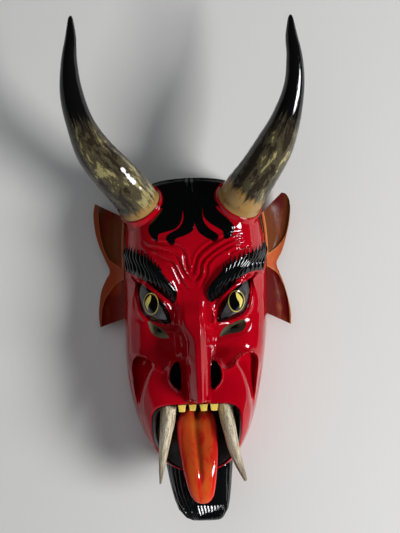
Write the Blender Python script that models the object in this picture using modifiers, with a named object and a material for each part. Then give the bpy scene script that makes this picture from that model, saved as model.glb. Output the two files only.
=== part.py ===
"""Carved wooden devil mask with cow horns, antler tusks, a loose tongue and screwed-on ears.

The mask lies on its back rim: Z = 0 is the rim, +Z is the way the face looks, +Y runs from
chin to forehead and X runs across the face. Sizes below are in millimetres on the face's own
axes, whose origin is on the centre line level with the middle of the nose. MM turns them into
Blender's metres, and an empty carries the whole mask so that its box is centred on the origin.
"""

import math

import bmesh
import bpy
import numpy as np
from mathutils import Vector

MM = 0.001

# -- Head blank ---------------------------------------------------------------------------
FACE_CENTRE_Y = 60.0  # widest level of the head
HALF_WIDTH = 92.0
CROWN_LENGTH = 157.0  # from the widest level up to the crown
CHIN_LENGTH = 225.0  # from the widest level down to the chin
CROWN_POWER = 4.4  # how square the outline is above and below the widest level
CHIN_POWER = 2.3
HEAD_DEPTH = 108.0
DOME_POWER = 3.0
BLANK_LEAN = 4.3  # the blank's outline leans this far to one side, as hand-cut ones do
LEAN_RUN = 70.0

# -- Hollow inside ------------------------------------------------------------------------
RIM_WIDTH = 11.0
HOLLOW_DEPTH = 70.0
MOUTH_HOLLOW_DEPTH = 46.0  # shallower behind the mouth pocket

# -- Nose ---------------------------------------------------------------------------------
NOSE_TOP_Y = 62.0
NOSE_TIP_Y = -46.0
NOSE_END_Y = -55.0
NOSE_RISE = 47.0
NOSE_HALF_WIDTH = 18.0

# -- Muzzle, cheeks and eyes --------------------------------------------------------------
MUZZLE_CENTRE_Y = -75.0
MUZZLE_HALF_WIDTH = 74.0
MUZZLE_HALF_HEIGHT = 68.0
MUZZLE_POWER = 3.2
MUZZLE_RISE = 7.0
ARCH_HOLLOW = 17.0
CHEEK_HOLLOW = 13.0
EYE_CENTRE = (49.0, 60.0)
EYE_HALF_LENGTH = 33.0
EYE_HALF_HEIGHT = 17.0
EYE_TILT = math.radians(51.0)
EYE_BULGE = 5.0
BROW_RISE = 7.0

# -- Mouth pocket, eye slots and nostrils -------------------------------------------------
MOUTH_CENTRE_Y = -95.0
MOUTH_HALF_WIDTH = 53.0
MOUTH_UP = 32.5
MOUTH_DOWN = 45.5
MOUTH_FLOOR_Z = 60.0
SLOT_INNER = (28.5, 15.0)
SLOT_OUTER = (64.0, 38.0)
SLOT_WIDTH = 12.0
NOSTRIL_CENTRE = (23.0, -26.0)
NOSTRIL_HALF_SIZE = (6.0, 16.0)
NOSTRIL_FLOOR_Z = 84.0

# -- Beard --------------------------------------------------------------------------------
BEARD_TOP_Y = -122.0
BEARD_END_Y = -204.0
BEARD_SHARES = (0.0, 0.05, 0.2, 0.4, 0.6, 0.75, 0.87, 0.95, 0.985, 1.0)  # down its length
BEARD_HALF_WIDTHS = (0.0, 39.0, 41.5, 39.5, 36.5, 32.0, 25.5, 18.0, 11.0, 0.0)
BEARD_SWAY = 4.4
BEARD_BACK_Z = 22.0
BEARD_FRONT_Z = 104.0

# -- Horns, tusks, teeth, tongue, ears ----------------------------------------------------
TOUCH_GAP = 0.3
HORN_BASE = (60.0, 180.0, 74.0)
HORN_BASE_AXIS = Vector((0.42, 0.62, 0.66)).normalized()
HORN_RADIUS = {-1: 27.0, 1: 28.5}  # at the base, left and right
SOCKET_CLEARANCE = 0.9
SOCKET_DEPTH = 3.0
COLLAR_WALL = 3.2
COLLAR_FLARE = 7.0
COLLAR_DROP = 37.0
TOOTH_CENTRES = (-18.4, -5.4, 7.8, 20.6)
TOOTH_TOP_WIDTH = 10.5
TOOTH_END_WIDTH = 8.0
TOOTH_LENGTH = 9.0
TOOTH_Z = (95.0, 104.0)
TUSK_ROOT_X = {-1: -35.5, 1: 33.5}
TUSK_ROOT_Z = 84.0
TUSK_ROOT_RADIUS = 9.4
TUSK_SOCKET_DEPTH = 3.0
EAR_EDGE = {
    -1: [(-122, 29), (-123, 40), (-122.5, 54), (-119, 75), (-112.5, 90), (-107, 101), (-113, 117)]
    + [(-119.5, 134), (-124, 153), (-125.5, 174), (-123, 189)],
    1: [(124.5, 24), (125, 38), (123, 54), (118, 75), (112.5, 91), (109, 104), (116, 118)]
    + [(121, 132), (126, 150), (129, 168), (128.5, 184), (121, 194)],
}  # from the lower tip up over the waist to the upper tip
EAR_FOOT_Y = 40.0  # where the ear's edge meets the head, below and above
EAR_HEAD_Y = 168.0
EAR_THICKNESS = 7.0
EAR_TRIM = 6.0  # an ear is made this much too wide, then trimmed to the head's side

# -- Mesh density -------------------------------------------------------------------------
HEAD_GRID = (38, 60)
HOLLOW_GRID = (16, 26)
MIDDLE_CROWDING = 1.15  # over 1 draws the grid's columns towards the nose
WALL_WEIGHT = 0.55  # under 1 spends fewer rows on the plain sides


# ------------------------------------------------------------------------------ helpers --
def smooth(start, end, value):
    """Rise smoothly from 0 at start to 1 at end; start may lie above end."""
    ratio = np.clip((value - start) / (end - start), 0.0, 1.0)
    return ratio * ratio * (3.0 - 2.0 * ratio)


def bump(distance, radius):
    """Bell curve of the given radius."""
    return np.exp(-((distance / radius) ** 2))


def spline(points, count):
    """Read count points evenly along a smooth curve through the given ones."""
    knots = np.array(points, dtype=float)
    padded = np.vstack((2 * knots[0] - knots[1], knots, 2 * knots[-1] - knots[-2]))
    place = np.linspace(0.0, len(knots) - 1.000001, count)
    index = place.astype(int)
    t = (place - index)[:, None]
    a, b, c, d = (padded[index + shift] for shift in range(4))
    return 0.5 * (2 * b + (c - a) * t + (2 * a - 5 * b + 4 * c - d) * t**2 + (3 * b - a - 3 * c + d) * t**3)


def distance_to_line(x, y, line):
    """Return each point's distance to a polyline, its side (+ is right of travel) and its place 0-1."""
    best = np.full(x.shape, 1e9)
    side = np.zeros(x.shape)
    place = np.zeros(x.shape)
    for index, (start, end) in enumerate(zip(line[:-1], line[1:])):
        run = end - start
        along = np.clip(((x - start[0]) * run[0] + (y - start[1]) * run[1]) / (run @ run), 0.0, 1.0)
        away_x = x - start[0] - along * run[0]
        away_y = y - start[1] - along * run[1]
        distance = np.hypot(away_x, away_y)
        nearer = distance < best
        best = np.where(nearer, distance, best)
        side = np.where(nearer, np.sign(run[1] * away_x - run[0] * away_y), side)
        place = np.where(nearer, (index + along) / (len(line) - 1), place)
    return best, side, place


# --------------------------------------------------------------------------- head shape --
def outline_reach(u, v, grow=0.0):
    """Return the rim point in the direction of a disc point, with the rim moved out by grow."""
    angle = np.arctan2(v, u)
    run_x, run_y = np.cos(angle), np.sin(angle)
    power = np.where(run_y > 0, CROWN_POWER, CHIN_POWER)
    reach = (np.abs(run_x) ** power + np.abs(run_y) ** power) ** (-1.0 / power)
    length = np.where(run_y > 0, CROWN_LENGTH, CHIN_LENGTH) + grow
    return run_x * reach * (HALF_WIDTH + grow), run_y * reach * length


def side_of_head(y, z=0.0):
    """Return the head's half width at level y and height z."""
    ring = (1.0 - (z / HEAD_DEPTH) ** DOME_POWER) ** (1.0 / 5.0)
    rise = (y - FACE_CENTRE_Y) / ring
    power = np.where(rise > 0, CROWN_POWER, CHIN_POWER)
    length = np.where(rise > 0, CROWN_LENGTH, CHIN_LENGTH)
    return HALF_WIDTH * ring * (1.0 - np.clip(np.abs(rise) / length, 0, 1) ** power) ** (1.0 / power)


def lean(x, y):
    """Shift points sideways as the blank's outline leans, more towards its edge."""
    edge = np.clip(np.abs(x) / HALF_WIDTH, 0.0, 1.0) ** 2
    return x + BLANK_LEAN * np.tanh(y / LEAN_RUN) * edge


def disc_grid(columns, rows):
    """Start a mesh as a grid and return it with its vertices' places on a disc."""
    work = bmesh.new()
    bmesh.ops.create_grid(work, x_segments=columns, y_segments=rows, size=1.0)
    square = np.array([vertex.co[:2] for vertex in work.verts])
    s = np.sign(square[:, 0]) * np.abs(square[:, 0]) ** MIDDLE_CROWDING
    t = square[:, 1]
    return work, s * np.sqrt(1.0 - t * t / 2.0), t * np.sqrt(1.0 - s * s / 2.0)


def dome_power(y):
    """The dome is rounder at the crown and boxier at the jaw."""
    return 3.0 + 2.0 * smooth(80.0, -60.0, y)


def dome_profile():
    """Return matching tables of grid radius and dome radius, even along the dome's section."""
    ring = np.linspace(0.0, 1.0, 200)
    height = HEAD_DEPTH * (1.0 - ring ** dome_power(0.0)) ** (1.0 / DOME_POWER)
    step = np.hypot(np.diff(ring) * HALF_WIDTH, np.diff(height) * WALL_WEIGHT)
    length = np.concatenate(([0.0], np.cumsum(step)))
    return length / length[-1], ring


def dome(u, v, depth, grow=0.0):
    """Place disc points on a dome of the given depth and return x, y, z and the ring 0-1."""
    grid_ring = np.clip(np.hypot(u, v), 0.0, 1.0)
    table_in, table_out = dome_profile()
    ring = np.interp(grid_ring, table_in, table_out)
    ring = np.where(grid_ring > 0.9999, 1.0, ring)
    reach_x, reach_y = outline_reach(u, v, grow)
    x, y = ring * reach_x, ring * reach_y + FACE_CENTRE_Y
    z = depth * (1.0 - ring ** dome_power(y)) ** (1.0 / DOME_POWER)
    return x, y, z, ring


def brow_spine():
    """The brow's middle line, from over the nose out to the temple."""
    return spline([(21.0, 62.0), (29.0, 78.0), (40.0, 91.0), (54.0, 101.0), (70.0, 109.0), (88.0, 114.0)], 16)


def cheek_crest():
    """The crest of the cheek arch, from the nostril over the cheek and down the jaw."""
    points = [(17.0, -14.0), (24.0, -10.0), (37.0, -18.0), (48.0, -12.5), (62.0, -4.8)]
    return spline(points + [(71.0, -4.6), (76.0, -13.0), (75.3, -30.0), (72.0, -61.0), (66.0, -95.0)], 40)


def eye_ring(x, y):
    """Return 1 on the eye's almond outline, less inside and more outside."""
    away_x, away_y = x - EYE_CENTRE[0], y - EYE_CENTRE[1]
    along = away_x * math.cos(EYE_TILT) + away_y * math.sin(EYE_TILT)
    across = -away_x * math.sin(EYE_TILT) + away_y * math.cos(EYE_TILT)
    lens = EYE_HALF_HEIGHT * np.clip(1.0 - (along / EYE_HALF_LENGTH) ** 2, 0.05, 1.0)
    return np.maximum(np.abs(across) / lens, np.abs(along) / EYE_HALF_LENGTH)


def nose_relief(across, y):
    """The roof-shaped nose, from between the brows down to its tip over the teeth."""
    run = np.clip((NOSE_TOP_Y - y) / (NOSE_TOP_Y - NOSE_TIP_Y), 0.0, 1.0)
    rise = (3.0 + (NOSE_RISE - 3.0) * run) * smooth(NOSE_END_Y, NOSE_TIP_Y + 2.0, y)
    rise = rise * smooth(NOSE_TOP_Y + 14.0, NOSE_TOP_Y - 16.0, y)
    half = 11.0 + (NOSE_HALF_WIDTH - 11.0) * smooth(NOSE_TOP_Y, -10.0, y) - 9.0 * smooth(-26.0, NOSE_END_Y, y)
    share = across / half
    roof = 1.0 - 0.38 * np.clip(share / 0.5, 0.0, 1.0)
    return rise * roof * smooth(1.0, 0.55, share)


def cheek_relief(across, y):
    """The hollow cheek, the crest of its arch, the deep fold inside it and the muzzle."""
    distance, side, _ = distance_to_line(across, y, cheek_crest())
    inside = smooth(-3.5, 4.0, distance * side)
    rise = np.where(y > MUZZLE_CENTRE_Y, MUZZLE_HALF_HEIGHT, 120.0)
    ring = ((across / MUZZLE_HALF_WIDTH) ** MUZZLE_POWER + (np.abs(y - MUZZLE_CENTRE_Y) / rise) ** MUZZLE_POWER) ** (
        1.0 / MUZZLE_POWER
    )
    muzzle = smooth(1.03, 0.9, ring)
    fold = -ARCH_HOLLOW * (1.0 - muzzle) * smooth(-100.0, -60.0, y) + MUZZLE_RISE * muzzle
    under_eye = smooth(44.0, 30.0, y - 0.35 * (across - 45.0)) * smooth(-14.0, 8.0, y)
    cheek = -CHEEK_HOLLOW * under_eye * smooth(84.0, 70.0, across) * smooth(12.0, 26.0, across)
    return inside * fold + (1.0 - inside) * (cheek + 2.5 * bump(distance, 5.0) * smooth(0.0, -10.0, y - 4.0))


def eye_relief(across, y):
    """The bulging eye in its sunken socket, and the brow above it."""
    ring = eye_ring(across, y)
    socket = -5.0 * smooth(1.9, 1.1, ring) * smooth(26.0, 44.0, y)
    eye = (5.0 + EYE_BULGE) * smooth(1.02, 0.3, ring)
    distance, _, place = distance_to_line(across, y, brow_spine())
    brow = BROW_RISE * smooth(1.15, 0.6, distance / (5.0 + 11.0 * place**0.6))
    return socket * (1.0 - smooth(1.15, 0.8, distance / (5.0 + 11.0 * place**0.6))) + eye + brow


def head_surface(u, v):
    """Return the head's outer surface over the disc, with its larger carving."""
    x, y, z, ring = dome(u, v, HEAD_DEPTH)
    across = np.abs(x)
    front = smooth(0.985, 0.93, ring)
    chin = 12.0 * bump(np.hypot(x / 46.0, (y + 128.0) / 34.0), 1.0)
    relief = chin + nose_relief(across, y) + cheek_relief(across, y) + eye_relief(across, y)
    return lean(x, y), y, z + relief * front


# ----------------------------------------------------------------------- object helpers --
def material(name, colour, roughness):
    """Make a plain coated material."""
    made = bpy.data.materials.new(name)
    made.use_nodes = True
    shader = made.node_tree.nodes["Principled BSDF"]
    shader.inputs["Base Color"].default_value = (*colour, 1.0)
    shader.inputs["Roughness"].default_value = roughness
    shader.inputs["Metallic"].default_value = 0.0
    return made


def add_object(name, mesh, collection, parent, surface=None):
    """Link a mesh as an object under the mask's empty, smooth shaded."""
    made = bpy.data.objects.new(name, mesh)
    collection.objects.link(made)
    made.parent = parent
    if surface:
        mesh.materials.append(surface)
    mesh.shade_smooth()
    return made


def add_cutter(name, mesh, parts):
    """Link a mesh as a cutter, which is neither rendered nor built."""
    made = add_object(name, mesh, parts["cutters"], parts["frame"])
    made.hide_render = True
    made.display_type = "WIRE"
    return made


def boolean(target, tool, operation):
    """Add an exact Boolean with the tool object."""
    modifier = target.modifiers.new(tool.name, "BOOLEAN")
    modifier.operation = operation
    modifier.object = tool
    modifier.solver = "EXACT"


def mesh_from(work, name):
    """Turn a bmesh into a mesh with its faces pointing out."""
    bmesh.ops.recalc_face_normals(work, faces=work.faces)
    mesh = bpy.data.meshes.new(name)
    work.to_mesh(mesh)
    work.free()
    return mesh


def move_vertices(work, coordinates):
    """Move a bmesh's vertices to the given millimetre places."""
    for vertex, place in zip(work.verts, coordinates):
        vertex.co = Vector(place) * MM


def domed_solid(name, grid, surface, floor_z):
    """Close a disc-shaped surface downwards with a flat floor at floor_z."""
    work, u, v = disc_grid(*grid)
    move_vertices(work, np.column_stack(surface(u, v)))
    rim = [edge for edge in work.edges if edge.is_boundary]
    if floor_z < 0.0:
        wall = bmesh.ops.extrude_edge_only(work, edges=rim)["geom"]
        low = [item for item in wall if isinstance(item, bmesh.types.BMVert)]
        for vertex in low:
            vertex.co.z = floor_z * MM
        rim = [item for item in wall if isinstance(item, bmesh.types.BMEdge) and item.is_boundary]
    bmesh.ops.contextual_create(work, geom=rim)
    return mesh_from(work, name)


def prism(name, outline, low_z, high_z, draft=1.0):
    """Stand a closed outline up as a prism; draft scales its lower end about its middle."""
    work = bmesh.new()
    sides = len(outline)
    bmesh.ops.create_cone(work, segments=sides, radius1=1.0, radius2=1.0, depth=1.0, cap_ends=True)
    outline = np.array(outline)
    middle = outline.mean(axis=0)
    for vertex in work.verts:
        turn = math.atan2(vertex.co.y, vertex.co.x) / math.tau * sides
        point = outline[int(round(turn)) % sides]
        low = vertex.co.z < 0.0
        if low:
            point = middle + (point - middle) * draft
        vertex.co = Vector((point[0], point[1], low_z if low else high_z)) * MM
    return mesh_from(work, name)


def mapped_sphere(name, segments, rings, place):
    """Move a sphere's vertices: place takes the turn angle and the height -1 to 1 along it."""
    work = bmesh.new()
    bmesh.ops.create_uvsphere(work, u_segments=segments, v_segments=rings, radius=1.0)
    for vertex in work.verts:
        angle = math.atan2(vertex.co.y, vertex.co.x)
        height = max(-1.0, min(1.0, vertex.co.z))
        vertex.co = Vector(place(angle, height)) * MM
    return mesh_from(work, name)


def tapered_tube(name, points, radii, parts, resolution):
    """Sweep a circle of changing radius along a smooth line and return it as a closed mesh."""
    curve = bpy.data.curves.new(name + "_line", "CURVE")
    curve.dimensions = "3D"
    curve.bevel_depth = MM
    curve.bevel_resolution = resolution
    curve.use_fill_caps = True
    line = curve.splines.new("POLY")
    line.points.add(len(points) - 1)
    for point, place, radius in zip(line.points, points, radii):
        point.co = (*(Vector(place) * MM), 1.0)
        point.radius = radius
    guide = bpy.data.objects.new(name + "_line", curve)
    parts["mask"].objects.link(guide)
    evaluated = guide.evaluated_get(bpy.context.evaluated_depsgraph_get())
    mesh = bpy.data.meshes.new_from_object(evaluated)
    mesh.name = name
    bpy.data.objects.remove(guide)
    work = bmesh.new()
    work.from_mesh(mesh)
    bmesh.ops.remove_doubles(work, verts=work.verts, dist=0.01 * MM)
    bmesh.ops.recalc_face_normals(work, faces=work.faces)
    work.to_mesh(mesh)
    work.free()
    return mesh


# ------------------------------------------------------------------------------- pieces --
def mouth_outline(count=40):
    """The mouth: flat along the upper lip and round along the lower."""
    points = []
    for step in range(count):
        angle = math.tau * step / count
        power, length = (5.0, MOUTH_UP) if math.sin(angle) > 0 else (2.3, MOUTH_DOWN)
        reach = (abs(math.cos(angle)) ** power + abs(math.sin(angle)) ** power) ** (-1.0 / power)
        points.append(
            (MOUTH_HALF_WIDTH * reach * math.cos(angle), MOUTH_CENTRE_Y + length * reach * math.sin(angle))
        )
    return points


def slot_outline(side, count=20):
    """A crescent slot under the eye, between two bowed edges."""
    inner, outer = np.array(SLOT_INNER), np.array(SLOT_OUTER)
    run = outer - inner
    normal = np.array((run[1], -run[0])) / np.hypot(*run)
    lower, upper = [], []
    for step in range(count // 2):
        share = step / (count // 2 - 1)
        middle = inner + run * share
        bow = math.sin(math.pi * share) ** 0.7
        lower.append(middle + normal * (0.6 + 0.95 * SLOT_WIDTH * bow))
        upper.append(middle - normal * (0.6 + 0.05 * SLOT_WIDTH * bow))
    points = [(side * x, y) for x, y in lower + upper[::-1]]
    return points if side > 0 else points[::-1]


def nostril_outline(side, count=16):
    """A nostril: an upright teardrop beside the nose."""
    points = []
    for step in range(count):
        angle = math.tau * step / count
        wide = NOSTRIL_HALF_SIZE[0] * (1.0 - 0.25 * math.sin(angle))
        points.append(
            (side * NOSTRIL_CENTRE[0] + wide * math.cos(angle), NOSTRIL_CENTRE[1] + NOSTRIL_HALF_SIZE[1] * math.sin(angle))
        )
    return points


def beard_place(angle, height):
    """The beard: a blunt tuft from under the lower lip, turned forward over the chin."""
    share = (1.0 - height) / 2.0
    y = BEARD_TOP_Y + (BEARD_END_Y - BEARD_TOP_Y) * share
    blunt = math.sqrt(1.0 - abs(2.0 * share - 1.0) ** 6) if 0.0 < share < 1.0 else 0.0
    half_width = float(np.interp(share, BEARD_SHARES, BEARD_HALF_WIDTHS))
    centre = BEARD_SWAY * share**2
    front = BEARD_FRONT_Z + 4.0 * share
    back = BEARD_BACK_Z + 26.0 * share
    middle_z, half_z = (front + back) / 2.0, (front - back) / 2.0 * blunt
    power = 3.0
    reach = (abs(math.cos(angle)) ** power + abs(math.sin(angle)) ** power) ** (-1.0 / power)
    return centre + half_width * reach * math.cos(angle), y, middle_z + half_z * reach * math.sin(angle)


def tapered_line(points, radii, count, start_axis):
    """Read a centre line and its radii evenly, with the first step square to the start's face."""
    line = spline(points, count)
    line[1] = line[0] + np.array(start_axis) * np.linalg.norm(line[1] - line[0])
    return line, spline([(radius,) for radius in radii], count)[:, 0]


def horn_seat(side):
    """Return where a horn's base sits and the way it points there."""
    axis = Vector((side * HORN_BASE_AXIS.x, HORN_BASE_AXIS.y, HORN_BASE_AXIS.z))
    return Vector((side * HORN_BASE[0], HORN_BASE[1], HORN_BASE[2])), axis


def cone_on_seat(name, side, low_radius, high_radius, low, high):
    """A cone along a horn's base axis, between two heights over its seat."""
    seat, axis = horn_seat(side)
    turn = Vector((0.0, 0.0, 1.0)).rotation_difference(axis)
    work = bmesh.new()
    bmesh.ops.create_cone(
        work, segments=24, radius1=low_radius, radius2=high_radius, depth=high - low, cap_ends=True
    )
    for vertex in work.verts:
        raised = vertex.co + Vector((0.0, 0.0, (low + high) / 2.0))
        vertex.co = (seat + turn @ raised) * MM
    return mesh_from(work, name)


def tooth_solid(centre):
    """One upper tooth, a wedge narrowing downwards."""
    top = MOUTH_CENTRE_Y + MOUTH_UP + 2.0
    end = MOUTH_CENTRE_Y + MOUTH_UP - TOOTH_LENGTH
    outline = [
        (centre - TOOTH_TOP_WIDTH / 2, top),
        (centre - TOOTH_END_WIDTH / 2, end),
        (centre + TOOTH_END_WIDTH / 2, end),
        (centre + TOOTH_TOP_WIDTH / 2, top),
    ]
    return prism("tooth", outline, *TOOTH_Z)


def horn_line(side):
    """A horn's centre line and radii: the two are a pair, but not twins."""
    seat, axis = horn_seat(side)
    start = seat + axis * TOUCH_GAP
    rise = seat + axis * 24.0
    if side < 0:
        free = [(-89, 217.5, 101), (-111, 245, 108), (-126, 278.5, 112), (-134.8, 315, 113), (-136.1, 350.7, 112)]
        free += [(-133.6, 381, 110)]
        radii = [HORN_RADIUS[side], 25.8, 24.9, 22.2, 16.6, 13.7, 9.7, 6.7, 2.0]
        tip = (-133.2, 408.5, 107)
    else:
        free = [(86.8, 216.6, 102), (105, 245, 108), (120.3, 279, 112), (129.7, 313.5, 113), (131.4, 346, 112)]
        free += [(129.1, 373, 110)]
        radii = [HORN_RADIUS[side], 26.4, 24.5, 22.4, 16.9, 12.4, 9.6, 7.1, 2.0]
        tip = (129.2, 400.0, 107)
    points = [tuple(start), tuple(rise)] + free + [tip]
    return tapered_line(points, radii, 20, axis)


def tusk_root(side):
    """Return where a tusk's root sits in its socket above the mouth."""
    return TUSK_ROOT_X[side], MOUTH_CENTRE_Y + MOUTH_UP + TUSK_SOCKET_DEPTH, TUSK_ROOT_Z


def tusk_line(side):
    """A tusk's centre line and radii, from its socket under the upper lip to past the lower one."""
    x, y, z = tusk_root(side)
    root = (x, y - TOUCH_GAP, z)
    if side < 0:
        points = [root, (-36.0, -76, 88), (-39.0, -98, 101), (-43.0, -122, 112), (-46.6, -151.0, 121)]
        radii = [TUSK_ROOT_RADIUS, 9.6, 7.2, 4.9, 1.0]
    else:
        points = [root, (34.8, -76, 88), (39.0, -100, 101), (44.6, -125, 112), (54.0, -151.0, 121)]
        radii = [TUSK_ROOT_RADIUS, 9.0, 7.6, 5.8, 1.8]
    return tapered_line(points, radii, 10, (0.0, -1.0, 0.0))


def tusk_socket(side):
    """The round hole in the mouth's upper wall that a tusk's root sits in."""
    x, y, z = tusk_root(side)
    work = bmesh.new()
    radius = TUSK_ROOT_RADIUS + 1.5 * SOCKET_CLEARANCE
    bmesh.ops.create_cone(work, segments=16, radius1=radius, radius2=radius, depth=14.0, cap_ends=True)
    for vertex in work.verts:
        vertex.co = Vector((x + vertex.co.x, y - 7.0 - vertex.co.z, z + vertex.co.y)) * MM
    return mesh_from(work, "tusk_socket")


def tongue_place(angle, height):
    """The tongue: a blunt slab rising over the lower lip, grooved along its middle."""
    share = (1.0 - height) / 2.0
    line = spline([(-1.0, -70.5, 70), (-1.5, -95, 86), (0.5, -125, 108), (1.5, -150, 119), (3.0, -177.0, 118)], 41)
    index = min(int(share * 40), 39)
    centre = line[index] + (line[index + 1] - line[index]) * (share * 40 - index)
    blunt = (1.0 - abs(2.0 * share - 1.0) ** 4) ** (1.0 / 2.4) if 0.0 < share < 1.0 else 0.0
    half_width = (24.0 - 9.5 * smooth(0.2, 1.0, np.float64(share))) * blunt
    half_thick = 9.0 * blunt
    groove = 3.5 * blunt * math.exp(-((math.cos(angle) / 0.16) ** 2)) if math.sin(angle) > 0 else 0.0
    power = 2.4
    reach = (abs(math.cos(angle)) ** power + abs(math.sin(angle)) ** power) ** (-1.0 / power)
    x = centre[0] + half_width * reach * math.cos(angle)
    return x, centre[1], centre[2] + half_thick * reach * math.sin(angle) - groove


def ear_outer_edge(side, count):
    """Read points evenly along an ear's outer edge, from its lower tip to its upper one."""
    edge = spline(EAR_EDGE[side], 120)
    steps = np.concatenate(([0.0], np.cumsum(np.linalg.norm(np.diff(edge, axis=0), axis=1))))
    place = np.linspace(0.0, steps[-1], count)
    return np.column_stack([np.interp(place, steps, edge[:, axis]) for axis in (0, 1)])


def ear_mesh(side):
    """A leaf-shaped ear: a thin dished plate whose inner edge follows the side of the head."""
    work = bmesh.new()
    columns, rows = 5, 14
    bmesh.ops.create_grid(work, x_segments=columns, y_segments=rows, size=1.0)
    outer_edge = ear_outer_edge(side, rows + 1)
    for vertex in work.verts:
        across, up = (vertex.co.x + 1.0) / 2.0, (vertex.co.y + 1.0) / 2.0
        outer = outer_edge[int(round(up * rows))]
        inner_y = EAR_FOOT_Y + (EAR_HEAD_Y - EAR_FOOT_Y) * up
        inner_x = float(lean(side * (float(side_of_head(inner_y)) - EAR_TRIM), inner_y))
        z = 36.0 - 16.0 * across - 5.0 * math.sin(math.pi * across)
        x = inner_x + (outer[0] - inner_x) * across
        vertex.co = Vector((x, inner_y + (outer[1] - inner_y) * across, z)) * MM
    return mesh_from(work, "ear")


# ----------------------------------------------------------------------------- assembly --
def build_head(parts, surface):
    """Carve the head: dome, beard, collars and teeth joined, hollow and openings cut."""
    head = add_object(
        "head", domed_solid("head", HEAD_GRID, head_surface, 0.0), parts["mask"], parts["frame"], surface
    )
    beard = add_cutter("beard_block", mapped_sphere("beard", 20, 12, beard_place), parts)
    boolean(head, beard, "UNION")
    for side, label in ((-1, "left"), (1, "right")):
        rim = HORN_RADIUS[side] + COLLAR_WALL
        collar = cone_on_seat("collar", side, rim + COLLAR_FLARE, rim, SOCKET_DEPTH - COLLAR_DROP, SOCKET_DEPTH)
        boolean(head, add_cutter("collar_block_" + label, collar, parts), "UNION")
        bore = HORN_RADIUS[side] + SOCKET_CLEARANCE
        socket = cone_on_seat("socket", side, bore, bore, 0.0, 50.0)
        boolean(head, add_cutter("horn_socket_" + label, socket, parts), "DIFFERENCE")

    def hollow_surface(u, v):
        x, y, z, _ = dome(u, v, HOLLOW_DEPTH, -RIM_WIDTH)
        shallow = 1.0 - (1.0 - MOUTH_HOLLOW_DEPTH / HOLLOW_DEPTH) * smooth(-10.0, -62.0, y)
        return lean(x, y), y, z * shallow

    boolean(head, add_cutter("hollow", domed_solid("hollow", HOLLOW_GRID, hollow_surface, -5.0), parts), "DIFFERENCE")
    mouth = prism("mouth_pocket", mouth_outline(), MOUTH_FLOOR_Z, 190.0, draft=0.94)
    boolean(head, add_cutter("mouth_pocket", mouth, parts), "DIFFERENCE")
    for side, label in ((-1, "left"), (1, "right")):
        slot = add_cutter("slot_" + label, prism("slot", slot_outline(side), 20.0, 140.0), parts)
        boolean(head, slot, "DIFFERENCE")
        nostril = prism("nostril", nostril_outline(side), NOSTRIL_FLOOR_Z, 190.0, draft=0.6)
        boolean(head, add_cutter("nostril_" + label, nostril, parts), "DIFFERENCE")
        tusk_hole = add_cutter("tusk_socket_" + label, tusk_socket(side), parts)
        boolean(head, tusk_hole, "DIFFERENCE")
    for index, centre in enumerate(TOOTH_CENTRES):
        tooth = add_cutter(f"tooth_block_{index + 1}", tooth_solid(centre), parts)
        boolean(head, tooth, "UNION")
    return head


def head_outline(grow, count=72):
    """The head's outline as seen from the front, moved out by grow."""
    points = []
    for step in range(count):
        angle = math.tau * step / count
        x, y = outline_reach(np.float64(math.cos(angle)), np.float64(math.sin(angle)), grow)
        points.append((float(lean(x, y + FACE_CENTRE_Y)), float(y) + FACE_CENTRE_Y))
    return points


def build_ear(side, label, parts, surface):
    """Thicken one ear's plate."""
    ear = add_object("ear_" + label, ear_mesh(side), parts["mask"], parts["frame"], surface)
    plate = ear.modifiers.new("thickness", "SOLIDIFY")
    plate.thickness = EAR_THICKNESS * MM
    plate.offset = 0.0
    plate.use_even_offset = True
    boolean(ear, parts["ear_trimmer"], "DIFFERENCE")
    return ear


def centre_on_origin(parts):
    """Move the empty so that the middle of the mask's box stands over the origin."""
    bpy.context.view_layer.update()
    graph = bpy.context.evaluated_depsgraph_get()
    corners = []
    for item in parts["mask"].objects:
        if item.type == "MESH":
            shape = item.evaluated_get(graph)
            corners += [item.matrix_world @ vertex.co for vertex in shape.data.vertices]
    for axis in (0, 1):
        values = [corner[axis] for corner in corners]
        parts["frame"].location[axis] = -(min(values) + max(values)) / 2.0


def main():
    """Clear the scene and build the mask."""
    for item in list(bpy.data.objects):
        bpy.data.objects.remove(item)
    mask = bpy.data.collections.new("devil_mask")
    cutters = bpy.data.collections.new("cutters")
    for collection in (mask, cutters):
        bpy.context.scene.collection.children.link(collection)
    frame = bpy.data.objects.new("mask_frame", None)
    mask.objects.link(frame)
    parts = {"mask": mask, "cutters": cutters, "frame": frame}

    build_head(parts, material("red_lacquer", (0.45, 0.0, 0.01), 0.15))
    horn = material("horn", (0.10, 0.08, 0.05), 0.25)
    antler = material("antler", (0.55, 0.47, 0.33), 0.55)
    ear = material("ear_paint", (0.45, 0.12, 0.03), 0.25)
    trimmer = prism("ear_trimmer", head_outline(TOUCH_GAP * 2.0), -10.0, 120.0)
    parts["ear_trimmer"] = add_cutter("ear_trimmer", trimmer, parts)
    for side, label in ((-1, "left"), (1, "right")):
        line, sizes = horn_line(side)
        add_object("horn_" + label, tapered_tube("horn", line, sizes, parts, 4), mask, frame, horn)
        line, sizes = tusk_line(side)
        add_object("tusk_" + label, tapered_tube("tusk", line, sizes, parts, 2), mask, frame, antler)
        build_ear(side, label, parts, ear)
    tongue = mapped_sphere("tongue", 16, 12, tongue_place)
    add_object("tongue", tongue, mask, frame, material("tongue_paint", (0.55, 0.1, 0.02), 0.2))
    centre_on_origin(parts)


main()
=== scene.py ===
"""A carved devil mask in red lacquer, with cow horns, antler tusks, painted ears and a loose tongue.

Shapes are worked out in millimetres on the face's own axes: x across the face from its centre
line, y up it from the middle of the nose and z out of it from the back rim. FaceFrame moves them
to the part's frame, in metres.
"""

import logging
import math
from collections.abc import Sequence
from dataclasses import dataclass, field
from enum import Enum

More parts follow.
